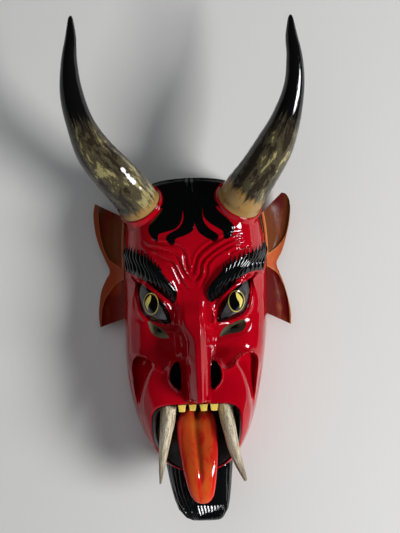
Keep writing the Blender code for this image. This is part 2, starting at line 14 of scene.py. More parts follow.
import bmesh
import bpy
import numpy as np
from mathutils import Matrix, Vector
from numpy.typing import NDArray

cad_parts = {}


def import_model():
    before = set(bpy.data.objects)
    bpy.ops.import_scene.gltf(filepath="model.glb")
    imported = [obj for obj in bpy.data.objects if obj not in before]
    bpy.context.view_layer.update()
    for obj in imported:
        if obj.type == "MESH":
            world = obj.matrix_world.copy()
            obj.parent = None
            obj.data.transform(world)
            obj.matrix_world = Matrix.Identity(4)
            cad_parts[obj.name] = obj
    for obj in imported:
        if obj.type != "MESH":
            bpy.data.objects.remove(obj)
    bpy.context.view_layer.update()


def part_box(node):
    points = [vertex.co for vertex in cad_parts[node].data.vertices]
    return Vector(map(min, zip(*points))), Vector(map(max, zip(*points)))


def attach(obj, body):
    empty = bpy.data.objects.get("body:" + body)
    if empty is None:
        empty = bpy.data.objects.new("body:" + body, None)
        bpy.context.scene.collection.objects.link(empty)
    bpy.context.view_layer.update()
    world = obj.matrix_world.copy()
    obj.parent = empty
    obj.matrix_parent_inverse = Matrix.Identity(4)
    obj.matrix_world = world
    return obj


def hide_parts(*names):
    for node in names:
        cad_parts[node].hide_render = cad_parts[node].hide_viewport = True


Array = NDArray[np.float64]
Points = Sequence[tuple[float, ...]]
Pair = tuple[float, float]
Curve = tuple[Pair, ...]
Triple = tuple[float, float, float]
Mesh, Surface, Thing, Socket = bpy.types.Mesh, bpy.types.Material, bpy.types.Object, bpy.types.NodeSocket

LOG = logging.getLogger("devil_mask")
BODY = "root"
MM = 0.001
MIX_FACTOR, MIX_FIRST, MIX_SECOND, MIX_COLOUR = 0, 6, 7, 2
COAT_SOCKETS = ("Coat Weight", "Coat Roughness", "Specular IOR Level")
# distances to an outline are told apart up to FAR; CLEAR is a height over the whole face
FAR = 9.0
CLEAR = 190.0
# how many features of noise a metre of a bar has
GRAIN_LENGTHWISE, SWELL_LENGTHWISE = 9.0, 30.0


class Side(Enum):
    """The two halves of the mask, as they are seen from the front."""

    LEFT = -1
    RIGHT = 1

    @property
    def label(self) -> str:
        """Return the side's name as the part's pieces use it."""
        return self.name.lower()


# x and z of the tusks' roots
TUSK_ROOT = {Side.LEFT: (-35.5, 84.0), Side.RIGHT: (33.5, 84.0)}


class Slot(Enum):
    """The part's material slots."""

    HEAD = "head_lacquer"
    HORN = "horn"
    EAR = "ear_paint"
    TONGUE = "tongue_paint"
    ANTLER = "antler"


# --- numbers
def smooth(start: float, end: float, value: Array) -> Array:
    """Rise smoothly from 0 at start to 1 at end; start may lie above end."""
    ratio = np.clip((value - start) / (end - start), 0.0, 1.0)
    return ratio * ratio * (3.0 - 2.0 * ratio)


def bell(distance: Array, radius: float | Array) -> Array:
    """Return a bell curve of the given radius."""
    return np.exp(-((distance / radius) ** 2))


def spline(points: Points, count: int, closed: bool = False) -> Array:
    """Read points evenly along a smooth curve.

    Args:
        points: the points it passes through.
        count: how many points to read.
        closed: whether it comes back to its start.

    Returns:
        The points read, one row each.
    """
    knots = np.array(points, dtype=float)
    if closed:
        place = np.linspace(0.0, len(knots), count, endpoint=False)
        knots = np.vstack((knots[-1], knots, knots[:2]))
    else:
        place = np.linspace(0.0, len(knots) - 1.000001, count)
        knots = np.vstack((2 * knots[0] - knots[1], knots, 2 * knots[-1] - knots[-2]))
    index = place.astype(int)
    t = (place - index)[:, None]
    a, b, c, d = (knots[index + shift] for shift in range(4))
    return 0.5 * (2 * b + (c - a) * t + (2 * a - 5 * b + 4 * c - d) * t**2 + (3 * b - a - 3 * c + d) * t**3)


def around(count: int) -> Array:
    """Return that many angles, evenly round a circle."""
    return np.linspace(0.0, math.tau, count, endpoint=False)


def squared(across: Array, up: Array, power: float | Array) -> Array:
    """Return how far a direction is stretched to turn a circle into a squarer one."""
    return (np.abs(across) ** power + np.abs(up) ** power) ** (-1.0 / power)


def almond(upper: Points, lower: Points) -> Array:
    """Join two curves that meet at both their ends into one outline."""
    return np.vstack([spline(points, 20)[:-1] for points in (upper, lower)])


def mirrored(points: Points, side: Side) -> Points:
    """Turn points given for the right half into the asked half's."""
    return [(side.value * point[0], *point[1:]) for point in points]


def line_distance(x: Array, y: Array, line: Array) -> tuple[Array, Array, Array]:
    """Measure points against a polyline.

    Args:
        x: the points' x.
        y: the points' y.
        line: the polyline's points.

    Returns:
        Each point's distance, its side (+ is right of travel) and its place along the line, 0-1.
    """
    best = np.full(x.shape, 1e9)
    side = np.zeros(x.shape)
    place = np.zeros(x.shape)
    for index, (start, end) in enumerate(zip(line[:-1], line[1:])):
        run = end - start
        along = np.clip(((x - start[0]) * run[0] + (y - start[1]) * run[1]) / (run @ run + 1e-12), 0.0, 1.0)
        away_x = x - start[0] - along * run[0]
        away_y = y - start[1] - along * run[1]
        distance = np.hypot(away_x, away_y)
        nearer = distance < best
        best = np.where(nearer, distance, best)
        side = np.where(nearer, np.sign(run[1] * away_x - run[0] * away_y), side)
        place = np.where(nearer, (index + along) / (len(line) - 1), place)
    return best, side, place


def inside_distance(x: Array, y: Array, outline: Array) -> Array:
    """Return each point's distance to a closed outline, positive inside it.

    Args:
        x: the points' x.
        y: the points' y.
        outline: the outline's points.

    Returns:
        The distances.
    """
    loop = np.vstack((outline, outline[:1]))
    distance, _, _ = line_distance(x, y, loop)
    inside = np.zeros(x.shape, dtype=bool)
    for (start_x, start_y), (end_x, end_y) in zip(loop[:-1], loop[1:]):
        if start_y != end_y:
            crosses = (start_y > y) != (end_y > y)
            inside ^= crosses & (x < (end_x - start_x) * (y - start_y) / (end_y - start_y) + start_x)
    return np.where(inside, distance, -distance)


def near(x: Array, y: Array, line: Array, reach: float) -> NDArray[np.bool_]:
    """Say which points lie within reach of a line's box, so that the rest can be left out."""
    low, high = line.min(axis=0) - reach, line.max(axis=0) + reach
    return (x > low[0]) & (x < high[0]) & (y > low[1]) & (y < high[1])


# --- placing it
@dataclass(frozen=True)
class FaceFrame:
    """Where the face's axes stand in the part's frame.

    Args:
        across: x of the face's centre line, in millimetres.
        up: y of the middle of the nose, in millimetres.
    """

    across: float
    up: float

    def place(self, points: Array) -> Array:
        """Move face points to the part's frame, in metres."""
        return (np.asarray(points, dtype=float) + (self.across, self.up, 0.0)) * MM


@dataclass(frozen=True)
class HeadBlank:
    """The block that the face is carved from, before its features."""

    centre_y: float = 60.0
    half_width: float = 92.0
    crown_length: float = 157.0
    chin_length: float = 225.0
    crown_power: float = 4.4
    chin_power: float = 2.3
    depth: float = 108.0
    dome_power: float = 3.0
    side_power: float = 5.0
    boxy_levels: Pair = (80.0, -60.0)
    lean_by: float = 4.3
    lean_run: float = 70.0
    wall_weight: float = 0.55
    middle_crowding: float = 1.12
    crown_edge: float = 62.0
    crown_tilt: float = 0.76
    edge_round: float = 0.022
    slope_up: Pair = (0.88, 0.98)
    slope_ring: Pair = (0.76, 0.86)

    def quarter(self, rise: Array) -> tuple[Array, Array]:
        """Return the power and the length of the outline that many millimetres above its centre."""
        power = np.where(rise > 0, self.crown_power, self.chin_power)
        return power, np.where(rise > 0, self.crown_length, self.chin_length)

    def reach(self, u: Array, v: Array, grow: float = 0.0) -> tuple[Array, Array]:
        """Return the rim point in a disc point's direction, with the rim moved out by grow.

        Args:
            u: the points' place across the disc, -1 to 1.
            v: the points' place up the disc.
            grow: how far the rim is moved out.

        Returns:
            The rim points' x and y.
        """
        angle = np.arctan2(v, u)
        run_x, run_y = np.cos(angle), np.sin(angle)
        power, length = self.quarter(run_y)
        reach = squared(run_x, run_y, power)
        return run_x * reach * (self.half_width + grow), run_y * reach * (length + grow)

    def lean(self, x: Array, y: Array) -> Array:
        """Shift points sideways as the block leans, more towards its edge."""
        edge = np.clip(np.abs(x) / self.half_width, 0.0, 1.0) ** 2
        return x + self.lean_by * np.tanh(y / self.lean_run) * edge

    def upright(self, x: Array, y: Array) -> Array:
        """Undo lean.

        Args:
            x: the leaned points' x.
            y: the points' y.

        Returns:
            Their x before the lean.
        """
        straight = np.array(x, dtype=float)
        for _ in range(4):
            straight = straight - (self.lean(straight, y) - x)
        return straight

    def half_width_at(self, y: Array) -> Array:
        """Return the rim's half width at level y.

        Args:
            y: the levels.

        Returns:
            The half widths.
        """
        power, length = self.quarter(y - self.centre_y)
        share = np.clip(np.abs(y - self.centre_y) / length, 0, 1)
        return self.half_width * (1.0 - share**power) ** (1.0 / power)

    def section_power(self, y: Array) -> Array:
        """Return how square the dome is: rounder at the crown and boxier at the jaw."""
        return self.dome_power + (self.side_power - self.dome_power) * smooth(*self.boxy_levels, y)

    def dome(self, u: Array, v: Array, depth: float, grow: float = 0.0) -> tuple[Array, Array, Array, Array]:
        """Place disc points on a dome.

        Args:
            u: the points' place across the disc, -1 to 1.
            v: the points' place up the disc.
            depth: the dome's depth.
            grow: how far its rim is moved out.

        Returns:
            Their x, y, z and ring, which runs from 0 at the middle to 1 on the rim.
        """
        table = np.linspace(0.0, 1.0, 400)
        power = self.section_power(np.array(0.0))
        height = self.depth * (1.0 - table**power) ** (1.0 / self.dome_power)
        step = np.hypot(np.diff(table) * self.half_width, np.diff(height) * self.wall_weight)
        length = np.concatenate(([0.0], np.cumsum(step)))
        disc = np.clip(np.hypot(u, v), 0.0, 1.0)
        ring = np.where(disc > 0.99999, 1.0, np.interp(disc, length / length[-1], table))
        reach_x, reach_y = self.reach(u, v, grow)
        x, y = ring * reach_x, ring * reach_y + self.centre_y
        return x, y, depth * (1.0 - ring ** self.section_power(y)) ** (1.0 / self.dome_power), ring

    def level(self, x: Array, y: Array) -> Array:
        """Return the dome's height over face points, before its lean.

        Args:
            x: the points' x.
            y: the points' y.

        Returns:
            The heights.
        """
        rise = y - self.centre_y
        power, length = self.quarter(rise)
        ring = (np.abs(x / self.half_width) ** power + np.abs(rise / length) ** power) ** (1.0 / power)
        ring = np.clip(ring, 0.0, 1.0)
        return self.depth * (1.0 - ring ** self.section_power(y)) ** (1.0 / self.dome_power)

    def crown_slope(self, y: Array, z: Array, ring: Array) -> Array:
        """Fill the crown out to a straight slope that ends in a thick edge.

        Args:
            y: the points' y.
            z: their heights on the dome.
            ring: their rings, 1 on the rim.

        Returns:
            Their new heights.
        """
        up = (y - self.centre_y) / (self.crown_length * np.maximum(ring, 0.01))
        slope = self.crown_edge + self.crown_tilt * self.crown_length * (1.0 - ring)
        slope = slope * np.sqrt(np.clip((1.0 - ring) / self.edge_round, 0.0, 1.0))
        return z + np.maximum(slope - z, 0.0) * smooth(*self.slope_up, up) * smooth(*self.slope_ring, ring)

    def frame_in(self, beard_end: float) -> FaceFrame:
        """Find the face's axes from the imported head's box.

        Args:
            beard_end: y of the lowest carved point of the head.

        Returns:
            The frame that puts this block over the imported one.
        """
        low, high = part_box("head")
        turn = np.linspace(0.0, math.tau, 720)
        x, y = self.reach(np.cos(turn), np.sin(turn))
        edge = self.lean(x, y + self.centre_y)
        across = (low.x + high.x) / 2.0 / MM - (edge.min() + edge.max()) / 2.0
        return FaceFrame(across, low.y / MM - beard_end)


# --- meshes
def sheet_faces(rows: int, columns: int, wrap: bool) -> list[tuple[int, ...]]:
    """Return the quads of a grid of points, joined round its columns if wrap is set.

    Args:
        rows: how many rows of points.
        columns: how many points a row has.
        wrap: whether the last column meets the first.

    Returns:
        The quads' corners.
    """
    faces = []
    for start in range(0, (rows - 1) * columns, columns):
        for here in range(columns if wrap else columns - 1):
            after = (here + 1) % columns
            faces.append((start + here, start + after, start + columns + after, start + columns + here))
    return faces


def make_mesh(name: str, points: Array, faces: list[tuple[int, ...]]) -> Mesh:
    """Build a closed mesh with its faces turned outwards.

    Args:
        name: the name to give it.
        points: its points, one row each.
        faces: its faces' corners.

    Returns:
        The mesh.
    """
    mesh = bpy.data.meshes.new(name)
    mesh.from_pydata(points.tolist(), [], faces)
    work = bmesh.new()
    work.from_mesh(mesh)
    bmesh.ops.recalc_face_normals(work, faces=work.faces)
    work.to_mesh(mesh)
    work.free()
    return mesh


def loft(name: str, rings: Array) -> Mesh:
    """Skin a stack of closed rings and close both its ends with a flat face.

    Args:
        name: the name to give it.
        rings: the rings' points.

    Returns:
        The closed mesh.
    """
    rows, columns = rings.shape[:2]
    faces = sheet_faces(rows, columns, True)
    faces.append(tuple(range(columns)))
    faces.append(tuple(range((rows - 1) * columns, rows * columns)))
    return make_mesh(name, rings.reshape(-1, 3), faces)


def add_object(name: str, mesh: Mesh) -> Thing:
    """Link a mesh to the scene as an object.

    Args:
        name: the name to give it.
        mesh: its mesh.

    Returns:
        The object.
    """
    made = bpy.data.objects.new(name, mesh)
    bpy.context.scene.collection.objects.link(made)
    return made


def baked(source: Thing, name: str) -> Thing:
    """Turn an object with modifiers into a plain one under the given name.

    Args:
        source: the object with modifiers, which is removed.
        name: the plain object's name.

    Returns:
        The plain object.
    """
    graph = bpy.context.evaluated_depsgraph_get()
    mesh = bpy.data.meshes.new_from_object(source.evaluated_get(graph))
    mesh.name = name
    bpy.data.objects.remove(source)
    return add_object(name, mesh)


def shade(piece: Thing, angle: float) -> None:
    """Shade a piece smooth, with its edges over the angle left sharp."""
    piece.data.shade_smooth()
    piece.data.set_sharp_from_angle(angle=angle)


def store(mesh: Mesh, name: str, values: Array) -> None:
    """Keep one number a vertex under the given name."""
    made = mesh.attributes.new(name, "FLOAT", "POINT")
    made.data.foreach_set("value", values.astype(np.float32))


def vertices_of(mesh: Mesh) -> Array:
    """Return a mesh's vertices, one row each."""
    return np.array([tuple(vertex.co) for vertex in mesh.vertices])


def settle(piece: Thing, slot: Slot, *nodes: str) -> None:
    """Hand a finished piece to the frame.

    Args:
        piece: the finished piece.
        slot: the material slot that its finish belongs to.
        nodes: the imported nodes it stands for.
    """
    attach(piece, BODY)
    if nodes:
        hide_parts(*nodes)
    LOG.info("%s: %d faces, slot %s", piece.name, len(piece.data.polygons), slot.value)


# --- materials
class NodeMaker:
    """Short calls for adding nodes to a tree."""

    def __init__(self, tree: bpy.types.NodeTree) -> None:
        """Keep the tree."""
        self.tree = tree

    def node(self, kind: str, inputs: dict, output: str | int = 0, **settings: str) -> Socket:
        """Add a node.

        Args:
            kind: the node's type.
            inputs: its inputs by name or place, each a socket or a plain value.
            output: which output to return.
            settings: its own properties.

        Returns:
            The output socket.
        """
        node = self.tree.nodes.new(kind)
        for name, setting in settings.items():
            setattr(node, name, setting)
        for name, value in inputs.items():
            socket = node.inputs[name]
            if isinstance(value, Socket):
                self.tree.links.new(value, socket)
            else:
                socket.default_value = value
        return node.outputs[output]

    def math(self, operation: str, *values: Socket | float) -> Socket:
        """Add a Math node."""
        return self.node("ShaderNodeMath", dict(enumerate(values)), operation=operation)

    def split(self, place: Socket) -> list[Socket]:
        """Take a vector apart."""
        return [self.node("ShaderNodeSeparateXYZ", {0: place}, axis) for axis in "XYZ"]

    def ramp(
        self, value: Socket, low: float, high: float, to_low: float | Socket = 0.0, to_high: float = 1.0
    ) -> Socket:
        """Turn a value between low and high smoothly into one between to_low and to_high."""
        inputs = {"Value": value, "From Min": low, "From Max": high, "To Min": to_low, "To Max": to_high}
        return self.node("ShaderNodeMapRange", inputs, "Result", interpolation_type="SMOOTHSTEP")


class Recipe(NodeMaker):
    """A material's node tree, with short calls for the nodes that the finishes use."""

    def __init__(self, name: str) -> None:
        """Start a material with its shader.

        Args:
            name: the material's name.
        """
        self.material = bpy.data.materials.new(name)
        self.material.use_nodes = True
        super().__init__(self.material.node_tree)
        self.shader = self.tree.nodes["Principled BSDF"]
        self.object_place = self.node("ShaderNodeTexCoord", {}, "Object")

    def attribute(self, name: str, output: str = "Fac") -> Socket:
        """Read a mesh attribute."""
        return self.node("ShaderNodeAttribute", {}, output, attribute_name=name)

    def level(self) -> Socket:
        """Return how far up the part each point is, in metres."""
        return self.split(self.object_place)[1]

    def area(self, name: str, edge: float, level: float = 0.0) -> Socket:
        """Mask the points whose attribute is over the level, with an edge that soft."""
        return self.ramp(self.attribute(name), level - edge, level + edge)

    def swing(self, value: Socket, amount: float) -> Socket:
        """Turn a value about 0.5 into one about 0, that times the amount."""
        return self.math("MULTIPLY", self.math("SUBTRACT", value, 0.5), amount)

    def noise(
        self,
        scale: float,
        stretch: Triple = (1.0, 1.0, 1.0),
        detail: float = 4.0,
        roughness: float = 0.55,
        place: Socket | None = None,
        distortion: float = 0.0,
    ) -> Socket:
        """Add a noise over the piece.

        Args:
            scale: its features in a metre.
            stretch: how much the scale grows along each axis.
            detail: its octaves.
            roughness: how strong the finer octaves are.
            place: the coordinates it reads, else the object's.
            distortion: how much it is warped.

        Returns:
            The noise's value, about 0.5.
        """
        stretched = self.node("ShaderNodeMapping", {"Vector": place or self.object_place, "Scale": stretch})
        inputs = {"Vector": stretched, "Scale": scale, "Detail": detail, "Roughness": roughness}
        return self.node("ShaderNodeTexNoise", inputs | {"Distortion": distortion}, "Fac")

    def pits(self, size: float, stretch: Triple, place: Socket) -> Socket:
        """Scatter round pits over the piece.

        Args:
            size: a pit's share of their spacing.
            stretch: how many of them there are along each axis.
            place: the coordinates they lie on.

        Returns:
            A mask, 1 in the pits and 0 elsewhere.
        """
        stretched = self.node("ShaderNodeMapping", {"Vector": place, "Scale": stretch})
        away = self.node("ShaderNodeTexVoronoi", {"Vector": stretched, "Scale": 1.0}, "Distance")
        return self.ramp(away, size, size * 0.5)

    def blend(self, factor: Socket, first: Socket | Triple, second: Socket | Triple) -> Socket:
        """Mix two colours.

        Args:
            factor: 0 takes the first and 1 the second.
            first: a colour, or its socket.
            second: the other one.

        Returns:
            The mixed colour.
        """
        inputs = {MIX_FACTOR: factor}
        for place, colour in ((MIX_FIRST, first), (MIX_SECOND, second)):
            inputs[place] = colour if isinstance(colour, Socket) else (*colour, 1.0)
        return self.node("ShaderNodeMix", inputs, MIX_COLOUR, data_type="RGBA")

    def bump(self, height: Socket, distance: float) -> None:
        """Raise the surface, on top of earlier bumps.

        Args:
            height: the height, 0 to 1.
            distance: how far 1 is raised, in metres.
        """
        earlier = self.shader.inputs["Normal"].links
        inputs = {"Height": height, "Distance": distance, "Strength": 1.0}
        if earlier:
            inputs["Normal"] = earlier[0].from_socket
        raised = self.node("ShaderNodeBump", inputs, "Normal")
        for name in ("Normal", "Coat Normal"):
            self.tree.links.new(raised, self.shader.inputs[name])

    def coat(self, weight: float, roughness: float, under: float = 0.5) -> None:
        """Set the clear coat and the specular level under it on the shader's own sockets."""
        for name, value in zip(COAT_SOCKETS, (weight, roughness, under)):
            self.shader.inputs[name].default_value = value

    def finish(self, colour: Socket, roughness: Socket | float) -> Surface:
        """Feed the shader and end the recipe.

        Args:
            colour: the base colour.
            roughness: a socket or a number.

        Returns:
            The material.
        """
        self.tree.links.new(colour, self.shader.inputs["Base Color"])
        if isinstance(roughness, Socket):
            self.tree.links.new(roughness, self.shader.inputs["Roughness"])
        else:
            self.shader.inputs["Roughness"].default_value = roughness
        return self.material


@dataclass(frozen=True)
class LacquerFinish:
    """Glossy red and black lacquer over carved wood, with the painted eyes."""

    red: Triple = (0.40, 0.0006, 0.008)
    red_deep: Triple = (0.32, 0.0, 0.006)
    black: Triple = (0.001, 0.0012, 0.0014)
    sclera: Triple = (0.060, 0.060, 0.066)
    sclera_dark: Triple = (0.032, 0.031, 0.033)
    yellow: Triple = (0.74, 0.60, 0.14)
    ring: Triple = (0.42, 0.33, 0.07)
    edge: float = 0.22
    outline: float = 1.2
    iris_ring: float = 1.15
    coat_roughness: float = 0.03

    def build(self) -> Surface:
        """Return the material: paint follows the attributes kept on the mesh.

        Returns:
            The material.
        """
        recipe = Recipe("red_black_lacquer")
        edge = self.edge
        cloud = recipe.ramp(recipe.noise(16.0, detail=2.0), 0.35, 0.65)
        colour = recipe.blend(cloud, self.red, self.red_deep)
        black = recipe.area("black_in", edge)
        under_rim = recipe.math("MULTIPLY", black, recipe.area("rim_in", edge))
        colour = recipe.blend(recipe.math("SUBTRACT", black, under_rim), colour, self.black)
        colour = recipe.blend(recipe.area("eye_in", edge), colour, self.black)
        mottle = recipe.ramp(recipe.noise(90.0, detail=3.0), 0.3, 0.7)
        sclera = recipe.blend(mottle, self.sclera, self.sclera_dark)
        colour = recipe.blend(recipe.area("sclera_in", edge, self.outline), colour, sclera)
        colour = recipe.blend(recipe.area("iris_in", edge), colour, self.ring)
        colour = recipe.blend(recipe.area("iris_in", edge, self.iris_ring), colour, self.black)
        colour = recipe.blend(recipe.area("pupil_in", edge), colour, self.yellow)
        recipe.bump(recipe.noise(45.0, detail=1.0), 0.0002)
        recipe.bump(recipe.noise(420.0, (1.0, 0.25, 1.0), detail=2.0), 0.00003)
        recipe.coat(1.0, self.coat_roughness, 0.0)
        return recipe.finish(colour, recipe.ramp(recipe.noise(40.0), 0.3, 0.7, 0.22, 0.32))


@dataclass(frozen=True)
class BlackFinish:
    """Glossy black lacquer, for the mouth, the beard and the brow strands."""

    name: str = "black_lacquer"
    black: Triple = (0.001, 0.0012, 0.0014)
    worn: Triple = (0.003, 0.0035, 0.004)
    coat_roughness: float = 0.04
    # the colour taken below the levels: on the mouth a lighter grey, a painted reflection of light on its
    # glossy floor; by default the same as worn
    painted_sheen: Triple = (0.003, 0.0035, 0.004)
    painted_sheen_levels: Pair = (-0.212, -0.242)

    def build(self) -> Surface:
        """Return the material: black, worn in clouds, and lighter grey below the given levels, a painted
        reflection.

        Returns:
            The material.
        """
        recipe = Recipe(self.name)
        cloud = recipe.ramp(recipe.noise(60.0), 0.35, 0.7)
        colour = recipe.blend(cloud, self.black, self.worn)
        # painted reflection: lighter grey towards the bottom
        colour = recipe.blend(recipe.ramp(recipe.level(), *self.painted_sheen_levels), colour, self.painted_sheen)
        recipe.bump(recipe.noise(70.0, detail=2.0), 0.0004)
        recipe.bump(recipe.noise(500.0, (1.0, 0.2, 1.0), detail=2.0), 0.00004)
        recipe.coat(1.0, self.coat_roughness, 0.0)
        return recipe.finish(colour, 0.25)


@dataclass(frozen=True)
class BareWoodFinish:
    """Gouged wood without paint, gone brown, with its grain along the face."""

    name: str = "bare_wood"
    pale: Triple = (0.33, 0.21, 0.105)
    dark: Triple = (0.15, 0.085, 0.04)
    stain: Triple = (0.055, 0.035, 0.02)

    def build(self) -> Surface:
        """Return the material.

        Returns:
            The material.
        """
        recipe = Recipe(self.name)
        grain = recipe.noise(170.0, (1.0, 0.07, 1.0), detail=6.0, distortion=0.4)
        colour = recipe.blend(recipe.ramp(grain, 0.35, 0.68), self.pale, self.dark)
        patch = recipe.ramp(recipe.noise(14.0, detail=3.0), 0.5, 0.75)
        colour = recipe.blend(recipe.math("MULTIPLY", patch, 0.6), colour, self.stain)
        recipe.bump(grain, 0.0005)
        return recipe.finish(colour, recipe.ramp(grain, 0.3, 0.7, 0.55, 0.75))


@dataclass(frozen=True)
class HornFinish:
    """Polished cow horn: a tan base, a mottled middle and a black tip, all streaked along it."""

    length: float
    seed: float
    tan: Triple = (0.33, 0.198, 0.062)
    cream: Triple = (0.33, 0.29, 0.13)
    olive: Triple = (0.075, 0.062, 0.036)
    brown: Triple = (0.026, 0.020, 0.013)
    black: Triple = (0.0035, 0.0035, 0.004)
    tan_end: float = 0.05
    tan_fade: float = 0.035
    tip_start: float = 0.47
    tip_fade: float = 0.045
    darkness: float = 0.0

    def build(self) -> Surface:
        """Return the material, which reads where each point is along and around the horn.

        Returns:
            The material.
        """
        recipe = Recipe("polished_horn")
        flow = recipe.attribute("flow", "Vector")
        shift = (self.seed, self.seed * 0.7, 0.0)
        place = recipe.node("ShaderNodeVectorMath", {0: flow, 1: shift}, operation="ADD")
        streak = recipe.noise(1.0, (7.0, 7.0, 9.0), detail=6.0, roughness=0.65, place=place)
        patch = recipe.noise(1.0, (2.0, 2.0, 34.0), detail=5.0, roughness=0.6, place=place, distortion=0.5)
        fleck = recipe.noise(1.0, (7.0, 7.0, 100.0), detail=6.0, roughness=0.7, place=place)
        share = recipe.math("DIVIDE", recipe.attribute("along"), self.length)
        # the side that faces the lamps gets more olive and cream: the patches are the horn's own, their
        # leaning to that side is painted light
        lit_side = recipe.math("MULTIPLY", recipe.attribute("pale"), 0.12)
        patch = recipe.math("MULTIPLY_ADD", recipe.math("SUBTRACT", patch, 0.5), 1.6, 0.5 - self.darkness)
        tone = recipe.math("ADD", patch, lit_side)
        tone = recipe.math("ADD", tone, recipe.swing(fleck, 0.8))
        colour = recipe.blend(recipe.ramp(tone, 0.38, 0.48), self.brown, self.olive)
        colour = recipe.blend(recipe.ramp(tone, 0.61, 0.74), colour, self.cream)
        jitter = recipe.swing(streak, 0.28)
        ragged = recipe.math("ADD", share, recipe.math("MULTIPLY", jitter, 0.45))
        base = recipe.ramp(ragged, self.tan_end, self.tan_end - self.tan_fade)
        speck = recipe.ramp(fleck, 0.60, 0.68)
        tan = recipe.blend(recipe.math("MULTIPLY", speck, 0.85), self.tan, self.brown)
        colour = recipe.blend(base, colour, tan)
        ragged = recipe.math("ADD", share, jitter)
        tip = recipe.ramp(ragged, self.tip_start - self.tip_fade, self.tip_start + self.tip_fade)
        colour = recipe.blend(tip, colour, self.black)
        recipe.bump(streak, 0.00012)
        recipe.coat(1.0, 0.05, 0.0)
        return recipe.finish(colour, recipe.ramp(tip, 0.0, 1.0, 0.38, 0.22))


@dataclass(frozen=True)
class AntlerFinish:
    """Sawn antler: a beige, pitted surface with brown grain along it."""

    pale: Triple = (0.76, 0.68, 0.50)
    shade: Triple = (0.36, 0.28, 0.17)
    brown: Triple = (0.13, 0.085, 0.05)
    tip_levels: Pair = (0.066, 0.092)

    def build(self) -> Surface:
        """Return the material.

        Returns:
            The material.
        """
        recipe = Recipe("antler")
        flow = recipe.attribute("flow", "Vector")
        grain = recipe.noise(1.0, (5.0, 5.0, 30.0), detail=6.0, roughness=0.65, place=flow)
        mottle = recipe.noise(1.0, (2.5, 2.5, 60.0), detail=4.0, place=flow)
        pits = recipe.pits(0.36, (7.0, 7.0, 300.0), flow)
        colour = recipe.blend(recipe.ramp(grain, 0.46, 0.60), self.pale, self.shade)
        colour = recipe.blend(recipe.ramp(mottle, 0.55, 0.72), colour, self.shade)
        colour = recipe.blend(recipe.math("MULTIPLY", pits, 0.8), colour, self.brown)
        tip = recipe.ramp(recipe.attribute("along"), *self.tip_levels, 0.0, 0.55)
        colour = recipe.blend(tip, colour, self.brown)
        recipe.bump(grain, 0.0008)
        recipe.bump(recipe.math("SUBTRACT", 1.0, pits), 0.0003)
        recipe.coat(0.25, 0.3)
        return recipe.finish(colour, recipe.ramp(grain, 0.3, 0.7, 0.42, 0.6))


@dataclass(frozen=True)
class EarFinish:
    """Orange paint on the rims, gone dark red and olive brown in streaks in the dished lobes."""

    rim: Triple
    line: Triple = (0.62, 0.30, 0.09)
    red: Triple = (0.10, 0.004, 0.003)
    olive: Triple = (0.135, 0.034, 0.009)
    rust: Triple = (0.24, 0.045, 0.012)
    edge: float = 0.35
    line_width: float = 0.9
    waist: float = 0.012

    def build(self) -> Surface:
        """Return the material, which reads how many millimetres inside a dish each point is.

        Returns:
            The material.
        """
        recipe = Recipe("ear_paint")
        streak = recipe.noise(55.0, (1.0, 0.30, 1.0), detail=5.0, distortion=0.8)
        cloud = recipe.noise(24.0, (1.0, 0.6, 1.0), detail=4.0, distortion=0.5)
        dished = recipe.attribute("dished")
        lift = recipe.ramp(recipe.level(), -self.waist, self.waist, -0.14, 0.06)
        cloud = recipe.math("ADD", cloud, lift)
        inner = recipe.blend(recipe.ramp(cloud, 0.42, 0.60), self.red, self.olive)
        inner = recipe.blend(recipe.math("MULTIPLY", recipe.ramp(streak, 0.50, 0.68), 0.8), inner, self.rust)
        outer = recipe.blend(recipe.ramp(streak, 0.35, 0.75, 0.0, 0.35), self.rim, self.rust)
        colour = recipe.blend(recipe.area("dished", self.edge), outer, inner)
        lip = recipe.ramp(dished, -self.line_width, 0.0)
        lip = recipe.math("MULTIPLY", lip, recipe.ramp(dished, 0.5, 0.0))
        colour = recipe.blend(recipe.math("MULTIPLY", lip, 0.75), colour, self.line)
        recipe.bump(recipe.noise(70.0, detail=2.0), 0.0005)
        recipe.bump(streak, 0.00015)
        recipe.coat(0.08, 0.25, 0.1)
        return recipe.finish(colour, 0.42)


@dataclass(frozen=True)
class TongueFinish:
    """Glossy orange paint streaked with red, red at the edges and dark in the groove."""

    orange: Triple = (0.64, 0.086, 0.016)
    red: Triple = (0.62, 0.014, 0.010)
    amber: Triple = (0.52, 0.125, 0.015)
    groove: Triple = (0.24, 0.035, 0.004)

    def build(self) -> Surface:
        """Return the material.

        Returns:
            The material.
        """
        recipe = Recipe("tongue_paint")
        streak = recipe.noise(75.0, (1.0, 0.16, 1.0), detail=5.0, distortion=0.6)
        other = recipe.noise(48.0, (1.0, 0.2, 1.0), detail=4.0)
        colour = recipe.blend(recipe.ramp(streak, 0.44, 0.64), self.orange, self.red)
        colour = recipe.blend(recipe.ramp(other, 0.52, 0.7), colour, self.amber)
        edge = recipe.math("ADD", recipe.attribute("edge"), recipe.swing(streak, 0.5))
        colour = recipe.blend(recipe.ramp(edge, 0.38, 0.74), colour, self.red)
        colour = recipe.blend(recipe.ramp(recipe.attribute("groove"), 0.4, 1.25), colour, self.groove)
        recipe.bump(recipe.noise(60.0, detail=2.0), 0.0005)
        recipe.coat(1.0, 0.04, 0.0)
        return recipe.finish(colour, 0.3)


